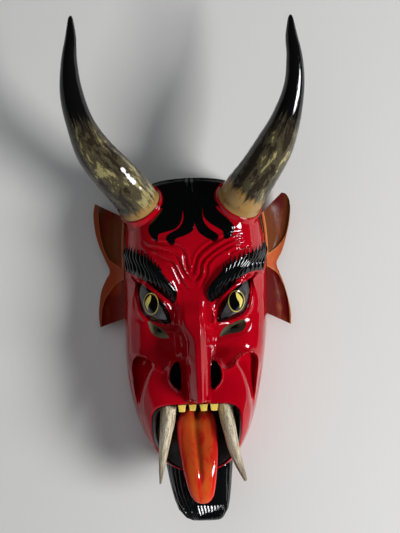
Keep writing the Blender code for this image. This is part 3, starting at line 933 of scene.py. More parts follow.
@dataclass(frozen=True)
class ToothFinish:
    """Yellow enamel paint, a little orange in patches and greener in others."""

    yellow: Triple = (0.92, 0.68, 0.13)
    orange: Triple = (0.90, 0.50, 0.10)
    green: Triple = (0.46, 0.38, 0.07)

    def build(self) -> Surface:
        """Return the material.

        Returns:
            The material.
        """
        recipe = Recipe("tooth_paint")
        patch = recipe.noise(95.0, detail=2.0)
        colour = recipe.blend(recipe.ramp(patch, 0.45, 0.7), self.yellow, self.orange)
        colour = recipe.blend(recipe.ramp(recipe.noise(60.0, detail=3.0), 0.52, 0.75), colour, self.green)
        recipe.bump(recipe.noise(150.0, detail=2.0), 0.0004)
        recipe.coat(0.7, 0.08)
        return recipe.finish(colour, 0.32)


@dataclass(frozen=True)
class FloorFinish:
    """Plain pale matt floor."""

    colour: Triple = (0.70, 0.705, 0.70)

    def build(self) -> Surface:
        """Return the material.

        Returns:
            The material.
        """
        recipe = Recipe("pale_floor")
        cloud = recipe.ramp(recipe.noise(3.0, detail=2.0), 0.3, 0.7, 0.0, 0.35)
        tint = tuple(value * 0.97 for value in self.colour)
        return recipe.finish(recipe.blend(cloud, self.colour, tint), 0.8)


# --- carving
@dataclass(frozen=True)
class Carving:
    """The face's features, as heights over the blank and as painted outlines."""

    nose_top: float = 62.0
    nose_tip: float = -49.0
    nose_end: float = -59.5
    nose_start: float = 3.0
    nose_rise: float = 47.0
    nose_root_width: float = 11.0
    nose_half_width: float = 18.0
    nose_narrowing: float = 3.5
    roof_fall: float = 0.32
    crease_depth: float = 2.0
    bridge_edges: Pair = (1.5, 7.0)
    bridge_left: float = -10.0
    muzzle_rise: float = 7.0
    arch_hollow: float = 17.0
    crest_rise: float = 3.0
    cheek_hollows: Pair = (6.0, 11.0)
    rib_groove: float = 4.5
    eye_centre: Pair = (49.0, 60.0)
    eye_half: Pair = (33.0, 17.0)
    eye_tilt: float = math.radians(51.0)
    eye_rise: float = 10.0
    socket_depth: float = 5.0
    eye_cut: float = 1.6
    eye_lip: float = 2.0
    lid_rise: float = 3.0
    temple_rise: float = 2.2
    brow_rise: float = 4.6
    brow_pad: float = 0.6
    strand_count: int = 13
    strand_cover: float = 0.80
    lock_rise: float = 0.9
    lock_grow: float = 0.7
    wrinkle_depth: float = 1.75
    wrinkle_ridge: float = 1.1
    chin_rise: float = 12.0
    lip_rise: float = 9.0
    opening_cut: float = 1.5
    nostril_wing: float = 2.6
    mouth_y: float = -95.0
    mouth_half: Triple = (53.0, 34.2, 45.5)
    iris_half: Pair = (9.8, 13.2)
    iris_centres: Curve = ((-51.5, 60.4), (51.0, 59.8))
    # the pupil is in units of the iris's half size; eyes, crest and nostril are the right half's
    crest_points: Curve = (
        (0, -57), (9, -54), (15.5, -44), (17.5, -30), (17, -14), (24, -10), (37, -18), (48, -12.5),
        (62, -4.8), (71, -4.6), (76, -13), (75.3, -30), (72, -61), (66, -95)
    )
    eye_upper: Curve = ((27.3, 34.6), (28.3, 45), (34, 58.5), (44, 70.3), (55, 78.8), (69, 86.5))
    eye_lower: Curve = (
        (69, 86.5), (68.9, 78), (68.2, 66), (64.5, 51), (56, 41.2), (42, 36.2), (27.3, 34.6)
    )
    sclera_upper: Curve = (
        (29.7, 38.2), (34, 49.3), (39.4, 60.2), (45.3, 68.6), (53, 75.4), (61.4, 80.6), (65.6, 82)
    )
    sclera_lower: Curve = (
        (65.6, 82), (65.9, 72), (64.6, 61), (61, 52.5), (55, 46.3), (46.5, 42.4), (38, 40.2), (29.7, 38.2)
    )
    pupil_points: Curve = (
        (-0.05, 0.86), (0.18, 0.72), (0.46, 0.5), (0.68, 0.24), (0.74, -0.02), (0.64, -0.3), (0.5, -0.52),
        (0.32, -0.72), (0.38, -0.42), (0.32, -0.12), (0.12, 0.14), (-0.02, 0.45)
    )
    nostril_points: Curve = (
        (20, -10.6), (24.6, -11), (28.2, -17.2), (29.9, -25.2), (28.8, -32.8), (24.2, -38.6), (19, -42.4),
        (18.2, -31.5), (18.3, -19.5)
    )
    lock_outlines: tuple[Curve, ...] = (
        (
            (-30, 182), (-33, 174), (-42.4, 163), (-49.9, 155), (-51.2, 147.7), (-47.2, 140.5),
            (-40.8, 134.6), (-40.9, 141.4), (-37.2, 144.8), (-27.6, 146.9), (-17.8, 150.1), (-12.2, 157),
            (-9.6, 166.5), (-11, 182)
        ),
        (
            (-8, 182), (-7.3, 172), (-7.4, 160.5), (-13.1, 149.9), (-25.3, 143.1), (-29.4, 138.6),
            (-27.3, 133.4), (-22.8, 130), (-19.8, 132.2), (-18.6, 137.4), (-8.6, 140.8), (-0.1, 144.6),
            (3.5, 149.3), (4.4, 160), (4.6, 182)
        ),
        (
            (5, 182), (5.3, 160), (6.9, 152.7), (10.7, 144.2), (18.7, 137.7), (24.1, 135.1), (26.5, 132.6),
            (31.5, 135), (31.7, 139.9), (22.7, 147.3), (17, 154.7), (14.4, 164.3), (13.6, 182)
        ),
        (
            (16.4, 182), (16.5, 173), (17.4, 163), (23.2, 155.7), (32.3, 149.4), (38.7, 144.1),
            (39.6, 136.6), (45.2, 136.4), (49.8, 142.7), (50.6, 149.9), (44.9, 158.5), (35.6, 167.2),
            (31, 174), (29, 182)
        ),
    )
    crown_outline: Curve = (
        (-120, 260), (-112, 124), (-89, 126), (-86, 138), (-83.5, 154), (-80.5, 163), (-76.5, 170),
        (-68, 176), (-34, 176), (-11, 178), (-9.6, 174.5), (-8.4, 178), (4.7, 179.5), (13.8, 178),
        (15.2, 174.5), (16.6, 178), (32, 176), (76, 177), (82, 163), (84.8, 148), (87, 142), (114, 150),
        (124, 260)
    )
    wrinkle_lines: tuple[Curve, ...] = (
        (
            (-58, 141), (-45, 134.5), (-32.5, 132.2), (-15.3, 127.1), (-8.4, 118.2), (-6.1, 103.6),
            (-1.4, 93.4)
        ),
        (
            (-62.7, 136.2), (-52.8, 128.5), (-34.4, 123.5), (-20.1, 117.1), (-13.3, 103.9), (-7.9, 92.2),
            (0.4, 84.7)
        ),
        ((-53.5, 122.6), (-39, 115), (-24.7, 108.7), (-18.7, 96.9), (-12.7, 83.7), (-3, 74.5)),
        ((68, 141), (48.8, 139.3), (31, 133.5), (17.9, 125.8), (8.1, 116.1), (3.9, 103.2), (-1.4, 93.4)),
        ((69, 135.2), (51, 134.2), (36, 127), (23.4, 118.5), (12.1, 107.3), (9.4, 93), (0.4, 84.7)),
        ((69, 130.3), (53.2, 128.5), (38, 121.5), (26.1, 113.9), (18.5, 104.3), (16.6, 91.3), (7, 74.5)),
        ((69, 125.6), (54.2, 122.8), (44, 117)),
    )
    lid_points: Curve = (
        (88, 92.5), (76, 90), (66, 86.6), (55, 81.5), (43, 73.5), (32, 62), (26.5, 49)
    )

    # --- outlines and lines, given for the right half
    def brow_edges(self, side: Side) -> tuple[Points, Points]:
        """Return the lower and the upper edge of a brow, both from the nose outwards.

        Args:
            side: which half of the mask.

        Returns:
            The two edges.
        """
        if side is Side.LEFT:
            lower = [(23.9, 59.2), (33.2, 66.8), (41.3, 73.7), (50.6, 81.2), (62.2, 90.1), (74, 96.6)]
            lower += [(84.6, 99.5)]
            upper = [(37.8, 102.9), (41.1, 110.2), (48, 116.5), (54, 122.7), (61, 126.5), (69.1, 130)]
            return lower, upper + [(76.3, 131.5), (84.5, 134)]
        lower = [(20.8, 58.4), (26.6, 62.2), (32.7, 66), (45, 76.6), (56.5, 87.6), (69.7, 94.2), (84.1, 95.6)]
        upper = [(37.8, 104.8), (42.1, 109.4), (47.7, 114), (53.8, 116.8), (59.9, 119.9), (66, 122.3)]
        return lower, upper + [(73.2, 124.8), (79.3, 127), (84.3, 131), (88, 135)]

    def strands(self, side: Side) -> list[tuple[Array, Array]]:
        """Return a brow's strands, each from its root to its tip, with their radii.

        Args:
            side: which half of the mask.

        Returns:
            Each strand's points and radii.
        """
        lower, upper = (spline(edge, 60) for edge in self.brow_edges(side))
        place = np.linspace(0.0, 1.0, 24)
        found = []
        for index in range(self.strand_count):
            t = index / (self.strand_count - 1)
            share = t * (1.3 - 0.3 * t)
            root, tip = lower[int(round(59 * share))], upper[int(round(59 * share))]
            run = tip - root
            normal = np.array((-run[1], run[0])) / np.hypot(*run)
            sway = (3.4 - 1.6 * share) * np.sin(math.tau * place)
            sway = sway + (2.5 - 4.5 * share) * np.sin(math.pi * place)
            taper = (0.5 + 0.5 * smooth(0.0, 0.25, place)) * (1.0 - 0.93 * smooth(0.6, 1.05, place))
            path = root + run * place[:, None] + normal * sway[:, None]
            found.append((path, (3.9 - 1.3 * share) * taper))
        return found

    def eye_outline(self) -> Array:
        """Return the eye's almond outline."""
        return almond(self.eye_upper, self.eye_lower)

    def sclera_outline(self) -> Array:
        """Return the outline of the eyeball's white, inside the black line round the eye."""
        return almond(self.sclera_upper, self.sclera_lower)

    def slot_outline(self, side: Side) -> Array:
        """Return a crescent eye slot.

        Args:
            side: which half of the mask.

        Returns:
            Its points.
        """
        if side is Side.LEFT:
            points = [(57.4, 41.2), (54.4, 28.2), (48.6, 20.9), (41.2, 17.2), (34.6, 16), (28, 16.2)]
            points += [(33.5, 24.4)]
            points += [(40.5, 30.6), (48.3, 35.6)]
        else:
            points = [(26.8, 14.6), (30.6, 24), (38.2, 29.8), (47.2, 33.4), (56.4, 37.2), (63.4, 39)]
            points += [(67.2, 35)]
            points += [(65, 26.6), (57, 21.6), (46.6, 19.8), (36.8, 17.6)]
        return spline(mirrored(points, side), 48, True)

    def nostril_outline(self, side: Side) -> Array:
        """Return a nostril's leaf-shaped outline beside the nose."""
        return spline(mirrored(self.nostril_points, side), 44, True)

    def mouth_outline(self, count: int = 180, grow: float = 0.0) -> Array:
        """Return the mouth's outline: flat along the upper lip and round along the lower.

        Args:
            count: how many points it gets.
            grow: how far the outline is moved out.

        Returns:
            Its points.
        """
        angle = around(count)
        half, above, below = self.mouth_half
        power = np.where(np.sin(angle) > 0, 5.0, 2.3)
        length = np.where(np.sin(angle) > 0, above, below) + grow
        reach = squared(np.cos(angle), np.sin(angle), power)
        x = (half + grow) * reach * np.cos(angle)
        return np.column_stack((x, self.mouth_y + length * reach * np.sin(angle)))

    # --- heights
    def eye_ring(self, across: Array, y: Array) -> Array:
        """Return 1 on the rough almond of the eye, less inside and more outside.

        Args:
            across: the points' distance from the centre line.
            y: the points' y.

        Returns:
            Each point's ring.
        """
        away_x, away_y = across - self.eye_centre[0], y - self.eye_centre[1]
        along = away_x * math.cos(self.eye_tilt) + away_y * math.sin(self.eye_tilt)
        over = -away_x * math.sin(self.eye_tilt) + away_y * math.cos(self.eye_tilt)
        lens = self.eye_half[1] * np.clip(1.0 - (along / self.eye_half[0]) ** 2, 0.05, 1.0)
        return np.maximum(np.abs(over) / lens, np.abs(along) / self.eye_half[0])

    def nose(self, x: Array, y: Array) -> Array:
        """Return the roof-shaped nose, flat on its bridge, with a crease left of its ridge.

        Args:
            x: the points' x.
            y: the points' y.

        Returns:
            The heights.
        """
        low, high = self.bridge_edges
        across = np.maximum((x - high) * 1.5, low + (self.bridge_left - low) * smooth(12.0, 42.0, y) - x)
        across = np.maximum(across, 0.0)
        run = np.clip((self.nose_top - y) / (self.nose_top - self.nose_tip), 0.0, 1.0)
        rise = self.nose_start + (self.nose_rise - self.nose_start) * run
        rise = rise * smooth(self.nose_end, self.nose_end + 8.0, y)
        rise = rise * smooth(self.nose_top + 14.0, self.nose_top - 16.0, y)
        half = self.nose_root_width
        half = half + (self.nose_half_width - half) * smooth(self.nose_top, -10.0, y)
        half = half - self.nose_narrowing * smooth(-26.0, self.nose_end, y)
        share = across / half
        roof = 1.0 - self.roof_fall * np.clip(np.sqrt(share**2 + 0.0012) / 0.5, 0.0, 1.0)
        height = rise * roof * smooth(1.0, 0.55, share)
        crease = [(-13.5, 50), (-15.2, 24), (-13.6, 9.4), (-8.9, -4.8), (-7.3, -17.9), (-8.6, -34)]
        distance, _, place = line_distance(x, y, spline(crease, 20))
        cut = self.crease_depth * bell(distance, 1.5) * smooth(0.0, 0.25, place) * smooth(1.0, 0.8, place)
        return height - cut

    def cheeks(self, across: Array, y: Array) -> Array:
        """Return the hollow cheek, its arched crest, the deep fold inside it and the muzzle.

        Args:
            across: the points' distance from the centre line.
            y: the points' y.

        Returns:
            The heights.
        """
        distance, side, place = line_distance(across, y, spline(self.crest_points, 72))
        inside = smooth(-1.6, 3.0, distance * side)
        edge = [(50, -8), (51.3, -12), (57.3, -22), (61.5, -32.7), (65.1, -44.8), (67.6, -58), (70, -75)]
        edge_away, edge_side, _ = line_distance(across, y, spline(edge + [(70, -95), (67, -112)], 30))
        muzzle = smooth(-8.0, 5.0, edge_away * edge_side)
        fold = -self.arch_hollow * (1.0 - muzzle) * smooth(-100.0, -60.0, y) + self.muzzle_rise * muzzle
        under_eye = smooth(44.0, 30.0, y - 0.35 * (across - 45.0)) * smooth(-14.0, 8.0, y)
        outer, more = self.cheek_hollows
        cheek = -(outer + more * smooth(74.0, 24.0, across)) * under_eye
        cheek = cheek * smooth(84.0, 70.0, across) * smooth(12.0, 26.0, across)
        crest = self.crest_rise * bell(distance, 3.2) * smooth(0.0, -10.0, y - 4.0)
        crest = crest * smooth(0.28, 0.36, place) * smooth(1.0, 0.8, place)
        rib = spline([(86, -16), (82.6, -24), (79.6, -39), (77, -53), (73.5, -70)], 16)
        groove, _, along = line_distance(across, y, rib)
        carved = -self.rib_groove * bell(groove, 2.2) * np.sin(math.pi * np.clip(along, 0.0, 1.0)) ** 0.7
        return inside * fold + (1.0 - inside) * cheek + crest + carved

    def eyes(self, across: Array, y: Array) -> Array:
        """Return the bulging eye in its socket, its grooved outline and its lid.

        Args:
            across: the points' distance from the centre line.
            y: the points' y.

        Returns:
            The heights.
        """
        ring = self.eye_ring(across, y)
        socket = -self.socket_depth * smooth(1.9, 1.1, ring) * smooth(26.0, 44.0, y)
        socket = socket * (1.0 - smooth(88.0, 98.0, y))
        height = socket + self.eye_rise * smooth(1.02, 0.3, ring)
        zone = near(across, y, self.eye_outline(), 12.0)
        depth = inside_distance(across[zone], y[zone], self.eye_outline())
        white = inside_distance(across[zone], y[zone], self.sclera_outline())
        extra = np.zeros(across.shape)
        extra[zone] = self.eye_lip * bell(depth + 3.4, 2.0) - self.eye_cut * bell(depth - 0.5, 1.9)
        extra[zone] = extra[zone] + 0.5 * bell(white, 0.8)
        lid, _, place = line_distance(across, y, spline(self.lid_points, 20))
        extra = extra + (self.lid_rise - 1.6 * place) * bell(lid, 2.4)
        edge, _, along = line_distance(across, y, spline([(85, 96), (84, 70), (85, 40), (86, 10)], 10))
        rib, _, run = line_distance(across, y, spline([(85, 74), (83, 64), (77, 50)], 8))
        extra = extra + 0.9 * bell(rib, 1.6) * np.sin(math.pi * run)
        return height + extra + self.temple_rise * bell(edge, 3.0) * smooth(1.0, 0.6, along)

    def brow(self, x: Array, y: Array, side: Side) -> tuple[Array, Array]:
        """Work out a brow.

        Args:
            x: the points' x.
            y: the points' y.
            side: which brow.

        Returns:
            The height of the pad under its strands, and each point's distance inside its outline.
        """
        across = side.value * x
        height, inside = np.zeros(x.shape), np.full(x.shape, -FAR)
        lower, upper = (spline(edge, 30) for edge in self.brow_edges(side))
        zone = near(across, y, np.vstack((lower, upper)), FAR)
        px, py = across[zone], y[zone]
        upper = lower + (upper - lower) * self.strand_cover
        best = inside_distance(px, py, np.vstack((lower, upper[::-1])))
        for path, radius in self.strands(side):
            distance, _, place = line_distance(px, py, path)
            width = np.interp(place, np.linspace(0.0, 1.0, len(radius)), radius)
            best = np.maximum(best, np.where(place > 0.06, width - distance, -FAR))
        height[zone] = self.brow_pad * smooth(-0.3, 1.6, best)
        inside[zone] = best
        return height, inside

    def hair(self, x: Array, y: Array) -> Array:
        """Return each point's distance inside the hair: its four locks, and the crown with its sideburns.

        Args:
            x: the points' x.
            y: the points' y.

        Returns:
            The distances.
        """
        best = np.full(x.shape, -FAR)
        locks = [spline(outline, 90, True) for outline in self.lock_outlines]
        for outline in locks + [np.array(self.crown_outline)]:
            zone = near(x, y, outline, FAR)
            best[zone] = np.maximum(best[zone], inside_distance(x[zone], y[zone], outline) + self.lock_grow)
        return best

    def height(self, x: Array, y: Array) -> Array:
        """Return the whole relief over the blank.

        Args:
            x: the points' x.
            y: the points' y.

        Returns:
            The heights.
        """
        across = np.abs(x)
        chin = self.chin_rise * bell(np.hypot(x / 46.0, (y + 128.0) / 34.0), 1.0)
        lip = inside_distance(x, y, self.mouth_outline(90))
        lower = smooth(-112.0, -126.0, y)
        chin = chin + self.lip_rise * lower * bell(lip + 1.5, 3.6) - 1.6 * (1.0 - lower) * bell(lip, 1.6)
        relief = chin + self.nose(x, y) + self.cheeks(across, y) + self.eyes(across, y)
        spine = spline([(21, 62), (29, 78), (40, 91), (54, 101), (70, 109), (88, 114)], 16)
        away, _, place = line_distance(across, y, spine)
        width = 5.0 + 11.0 * place**0.6
        relief = relief + self.brow_rise * smooth(1.25, 0.5, away / width) * smooth(-0.1, 0.35, place)
        for side in Side:
            relief = relief + self.brow(x, y, side)[0]
            slot, nostril = self.slot_outline(side), self.nostril_outline(side)
            for outline, soft, wing in ((slot, 1.8, 0.0), (nostril, 1.0, self.nostril_wing)):
                zone = near(x, y, outline, 7.0)
                away = inside_distance(x[zone], y[zone], outline)
                raised = wing * bell(away + 1.7, 1.2) * smooth(19.0, 23.0, across[zone])
                relief[zone] = relief[zone] - self.opening_cut * bell(np.minimum(away, 0.0), soft) + raised
        relief = relief + self.lock_rise * smooth(-0.4, 2.2, self.hair(x, y))
        for points in self.wrinkle_lines:
            line = spline(points, 26)
            zone = near(x, y, line, 8.0)
            away, _, place = line_distance(x[zone], y[zone], line)
            fade = smooth(0.0, 0.18, place) * smooth(1.0, 0.9, place)
            cut = self.wrinkle_ridge * bell(away - 3.4, 1.9) - self.wrinkle_depth * bell(away, 1.7)
            relief[zone] = relief[zone] + fade * cut
        return relief + self.crown_lines(x, y)

    def crown_lines(self, x: Array, y: Array) -> Array:
        """Return the two fine ridges down the middle of the crown."""
        return smooth(160.0, 176.0, y) * 0.9 * (bell(x + 2.8, 1.0) + bell(x - 3.4, 1.0))

    def iris_fields(self, x: Array, y: Array) -> tuple[Array, Array]:
        """Return each point's distance inside the irises and inside the pupils.

        Args:
            x: the points' x.
            y: the points' y.

        Returns:
            Both distances.
        """
        iris, pupil = np.full(x.shape, -FAR), np.full(x.shape, -FAR)
        half = np.array(self.iris_half)
        for side, centre in zip(Side, self.iris_centres):
            u = side.value * (x - centre[0]) / half[0]
            v = (y - centre[1]) / half[1]
            zone = np.hypot(u, v) < 1.8
            iris[zone] = np.maximum(iris[zone], (1.0 - np.hypot(u[zone], v[zone])) * half.mean())
            inside = inside_distance(u[zone], v[zone], spline(self.pupil_points, 48, True)) * half.mean()
            pupil[zone] = np.maximum(pupil[zone], inside)
        return iris, pupil

    def paint(self, x: Array, y: Array) -> dict[str, Array]:
        """Return the distances inside each painted area, in millimetres.

        Args:
            x: the points' x.
            y: the points' y.

        Returns:
            The distances by attribute name.
        """
        black = self.hair(x, y)
        for side in Side:
            black = np.maximum(black, self.brow(x, y, side)[1])
            black = np.maximum(black, inside_distance(x, y, self.nostril_outline(side)) + 0.7)
        mouth = inside_distance(x, y, self.mouth_outline(90)) + 0.9 * smooth(-118.0, -108.0, y)
        black = np.maximum(black, mouth)
        iris, pupil = self.iris_fields(x, y)
        eye = inside_distance(np.abs(x), y, self.eye_outline())
        sclera = inside_distance(np.abs(x), y, self.sclera_outline())
        fields = {"black_in": black, "eye_in": eye, "sclera_in": sclera, "iris_in": iris, "pupil_in": pupil}
        return {name: np.clip(values, -FAR, FAR) for name, values in fields.items()}


# --- head
@dataclass
class Head:
    """The carved shell: face, hollow, mouth pocket, slots, nostrils and the collars of the horns."""

    blank: HeadBlank
    frame: FaceFrame
    carving: Carving
    grid: tuple[int, int] = (216, 350)
    hollow_grid: tuple[int, int] = (60, 96)
    rim_width: float = 11.0
    hollow_depth: float = 70.0
    scallop_depth: float = 1.3
    mouth_hollow_depth: float = 46.0
    mouth_floor: float = 60.0
    nostril_floor: float = 84.0
    horn_seat: Triple = (60.0, 180.0, 74.0)
    horn_axis: Triple = (0.42, 0.62, 0.66)
    horn_radius: dict[Side, float] = field(default_factory=lambda: {Side.LEFT: 27.0, Side.RIGHT: 28.5})
    collar_wall: float = 2.3
    collar_flare: float = 13.0
    collar_drop: float = 37.0
    collar_depth: float = 3.0
    crown_round: float = 4.0
    slot_levels: Curve = ((30, 0.2), (80, 0.2), (91, 0.93), (140, 1))
    socket_gap: float = 0.5
    socket_depth: float = 50.0
    sharp_angle: float = math.radians(38.0)
    tusk_radius: float = 10.8
    tusk_depth: float = 14.0

    def disc(self, grid: tuple[int, int]) -> tuple[Array, Array]:
        """Lay a grid of points over a disc.

        Args:
            grid: how many cells across and up.

        Returns:
            The points' places across and up the disc.
        """
        s, t = np.meshgrid(np.linspace(-1.0, 1.0, grid[0] + 1), np.linspace(-1.0, 1.0, grid[1] + 1))
        s = np.sign(s) * np.abs(s) ** self.blank.middle_crowding
        return (s * np.sqrt(1.0 - t * t / 2.0)).ravel(), (t * np.sqrt(1.0 - s * s / 2.0)).ravel()

    def domed(self, name: str, grid: tuple[int, int], surface: Array, floor: float) -> Mesh:
        """Close a gridded dome with a skirt down to floor and a flat face.

        Args:
            name: the mesh's name.
            grid: its columns and rows.
            surface: its points, in face millimetres.
            floor: the height of the flat face.

        Returns:
            The closed mesh.
        """
        columns, rows = grid[0] + 1, grid[1] + 1
        index = np.arange(columns * rows).reshape(rows, columns)
        loop = np.concatenate((index[0, :-1], index[:-1, -1], index[-1, :0:-1], index[:0:-1, 0]))
        faces = sheet_faces(rows, columns, False)
        points = surface
        if floor < 0.0:
            skirt = surface[loop].copy()
            skirt[:, 2] = floor
            start = len(surface)
            points = np.vstack((surface, skirt))
            low = np.arange(start, start + len(loop))
            faces += np.column_stack((loop, low, np.roll(low, -1), np.roll(loop, -1))).tolist()
            loop = low
        faces.append(loop.tolist())
        return make_mesh(name, self.frame.place(points), faces)

    def shell(self) -> Mesh:
        """Return the outer surface with its relief, closed flat at the back.

        Returns:
            The closed mesh.
        """
        u, v = self.disc(self.grid)
        x, y, z, ring = self.blank.dome(u, v, self.blank.depth)
        z = self.blank.crown_slope(y, z, ring)
        y = y - self.crown_round * (x / 50.0) ** 2 * smooth(170.0, 214.0, y)
        relief = self.carving.height(x, y) * smooth(0.985, 0.93, ring)
        return self.domed("shell", self.grid, np.column_stack((self.blank.lean(x, y), y, z + relief)), 0.0)

    def hollow(self) -> Mesh:
        """Return the hollow, with the scallops that a gouge leaves.

        Returns:
            The closed mesh.
        """
        u, v = self.disc(self.hollow_grid)
        x, y, z, ring = self.blank.dome(u, v, self.hollow_depth, -self.rim_width)
        z = z * (1.0 - (1.0 - self.mouth_hollow_depth / self.hollow_depth) * smooth(-10.0, -62.0, y))
        scallop = np.abs(np.sin(x * 0.27 + 0.6 * np.sin(y * 0.05)))
        scallop = scallop * np.abs(np.sin(y * 0.11 + 0.8 * np.sin(x * 0.13)))
        z = z + self.scallop_depth * scallop * smooth(0.97, 0.85, ring)
        return self.domed("hollow", self.hollow_grid, np.column_stack((self.blank.lean(x, y), y, z)), -5.0)

    def stack(self, name: str, outline: Array, levels: Points) -> Mesh:
        """Stand an outline up through levels of height and scale about its middle.

        Args:
            name: the name to give it.
            outline: the outline's points.
            levels: the heights and scales.

        Returns:
            The closed mesh.
        """
        middle = outline.mean(axis=0)
        rings = [
            np.column_stack((middle + (outline - middle) * scale, np.full(len(outline), height)))
            for height, scale in levels
        ]
        return loft(name, self.frame.place(np.array(rings)))

    def seat(self, side: Side) -> tuple[Array, Array]:
        """Return where a horn sits and the way it points there.

        Args:
            side: which half of the mask.

        Returns:
            The seat and its axis.
        """
        flip = np.array((side.value, 1.0, 1.0))
        axis = np.array(self.horn_axis) * flip
        return np.array(self.horn_seat) * flip, axis / np.linalg.norm(axis)

    def turned(self, name: str, side: Side, profile: Points, count: int = 96) -> Mesh:
        """Turn a profile of radius and height about a horn's seat.

        Args:
            name: the name to give it.
            side: which half of the mask.
            profile: the radii and heights.
            count: how many sides it gets.

        Returns:
            The closed mesh.
        """
        seat, axis = self.seat(side)
        first = np.cross(axis, (0.0, 0.0, 1.0))
        first = first / np.linalg.norm(first)
        second = np.cross(axis, first)
        angle = around(count)[:, None]
        rings = [
            seat + axis * height + radius * (first * np.cos(angle) + second * np.sin(angle))
            for radius, height in profile
        ]
        return loft(name, self.frame.place(np.array(rings)))

    def collar(self, side: Side) -> Mesh:
        """Return the flared collar round a horn, with a rounded lip.

        Args:
            side: which half of the mask.

        Returns:
            The closed mesh.
        """
        rim = self.horn_radius[side] + self.collar_wall
        top, drop = self.collar_depth, self.collar_drop
        steps = np.linspace(0.0, 1.0, 12)
        profile = [
            (rim + self.collar_flare * (1.0 - t) ** 1.8, top - 2.0 - (drop - 2.0) * (1.0 - t)) for t in steps
        ]
        profile += [(rim - 0.1, top - 1.0), (rim - 0.4, top - 0.3), (rim - 0.9, top), (8.0, top)]
        return self.turned("collar", side, profile)

    def cutter(self, mesh: Mesh, finish: Surface) -> Thing:
        """Link a mesh as a cutter; the surfaces it leaves take its finish."""
        mesh.materials.append(finish)
        return add_object(mesh.name, mesh)

    def mouth_levels(self) -> Points:
        """Return the mouth pocket's heights and scales: rounded at its floor."""
        low = [(self.mouth_floor + rise, scale) for rise, scale in ((0.0, 0.76), (1.5, 0.81), (6.0, 0.86))]
        return low + [(95.0, 0.945), (110.0, 1.0), (CLEAR, 1.0)]

    def nostril_levels(self) -> Points:
        """Return a nostril's heights and scales."""
        floor = self.nostril_floor
        return [(floor, 0.5), (floor + 3.0, 0.75), (100.0, 0.92), (112.0, 1.0), (CLEAR, 1.0)]

    def build(self, lacquer: Surface, black: Surface, wood: Surface, slot_shading: dict[Side, Surface]) -> None:
        """Carve the head and hand it over.

        Args:
            lacquer: the face's finish.
            black: the mouth's finish.
            wood: the hollow's finish.
            slot_shading: each eye slot's finish, bare wood painted lighter on the left as painted light and
                darker on the right as painted shade.
        """
        shell = self.shell()
        shell.materials.append(lacquer)
        head = add_object("head_rough", shell)
        joined, cut = [], []
        for side in Side:
            joined.append(self.cutter(self.collar(side), lacquer))
            radius = self.horn_radius[side] + self.socket_gap
            socket = self.turned("socket", side, [(radius, 0.0), (radius, self.socket_depth)])
            cut.append(self.cutter(socket, lacquer))
            slot = self.carving.slot_outline(side)
            # the slot's walls take their side's finish: painted light in the left slot, painted shade in the
            # right
            cut.append(self.cutter(self.stack("slot", slot, self.slot_levels), slot_shading[side]))
            nostril = self.carving.nostril_outline(side)
            cut.append(self.cutter(self.stack("nostril", nostril, self.nostril_levels()), lacquer))
            cut.append(self.cutter(self.tusk_socket(side), black))
        cut.append(self.cutter(self.hollow(), wood))
        cut.append(self.cutter(self.stack("mouth", self.carving.mouth_outline(), self.mouth_levels()), black))
        for tool, operation in [(tool, "UNION") for tool in joined] + [(tool, "DIFFERENCE") for tool in cut]:
            modifier = head.modifiers.new(tool.name, "BOOLEAN")
            modifier.operation = operation
            modifier.object = tool
            modifier.solver = "EXACT"
            modifier.material_mode = "TRANSFER"
        piece = baked(head, "head_carving")
        for tool in joined + cut:
            bpy.data.objects.remove(tool)
        self.dress(piece)
        shade(piece, self.sharp_angle)
        settle(piece, Slot.HEAD, "head")

    def tusk_socket(self, side: Side) -> Mesh:
        """Return the hole above the mouth that a tusk's root sits in.

        Args:
            side: which half of the mask.

        Returns:
            The closed mesh.
        """
        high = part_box("tusk_" + side.label)[1]
        across, out = TUSK_ROOT[side]
        top = high.y / MM - self.frame.up + 0.3
        turn = around(32)
        x, z = across + self.tusk_radius * np.cos(turn), out + self.tusk_radius * np.sin(turn)
        rings = [np.column_stack((x, np.full(32, level), z)) for level in (top - self.tusk_depth, top)]
        return loft("tusk_socket", self.frame.place(np.array(rings)))

    def dress(self, piece: Thing) -> None:
        """Keep the painted areas on the mesh.

        Args:
            piece: the carved head.
        """
        place = vertices_of(piece.data) / MM
        y = place[:, 1] - self.frame.up
        leaned = place[:, 0] - self.frame.across
        x = self.blank.upright(leaned, y)
        for name, values in self.carving.paint(x, y).items():
            store(piece.data, name, values)
        ring = np.full(len(place), -FAR)
        for side in Side:
            seat, axis = self.seat(side)
            away = np.column_stack((leaned, y, place[:, 2])) - seat
            height = away @ axis
            radius = np.linalg.norm(away - height[:, None] * axis, axis=1)
            rim = self.horn_radius[side] + self.collar_wall
            ring = np.maximum(ring, np.minimum(rim + 1.0 - radius, height + 1.5))
        store(piece.data, "rim_in", np.clip(ring, -FAR, FAR))


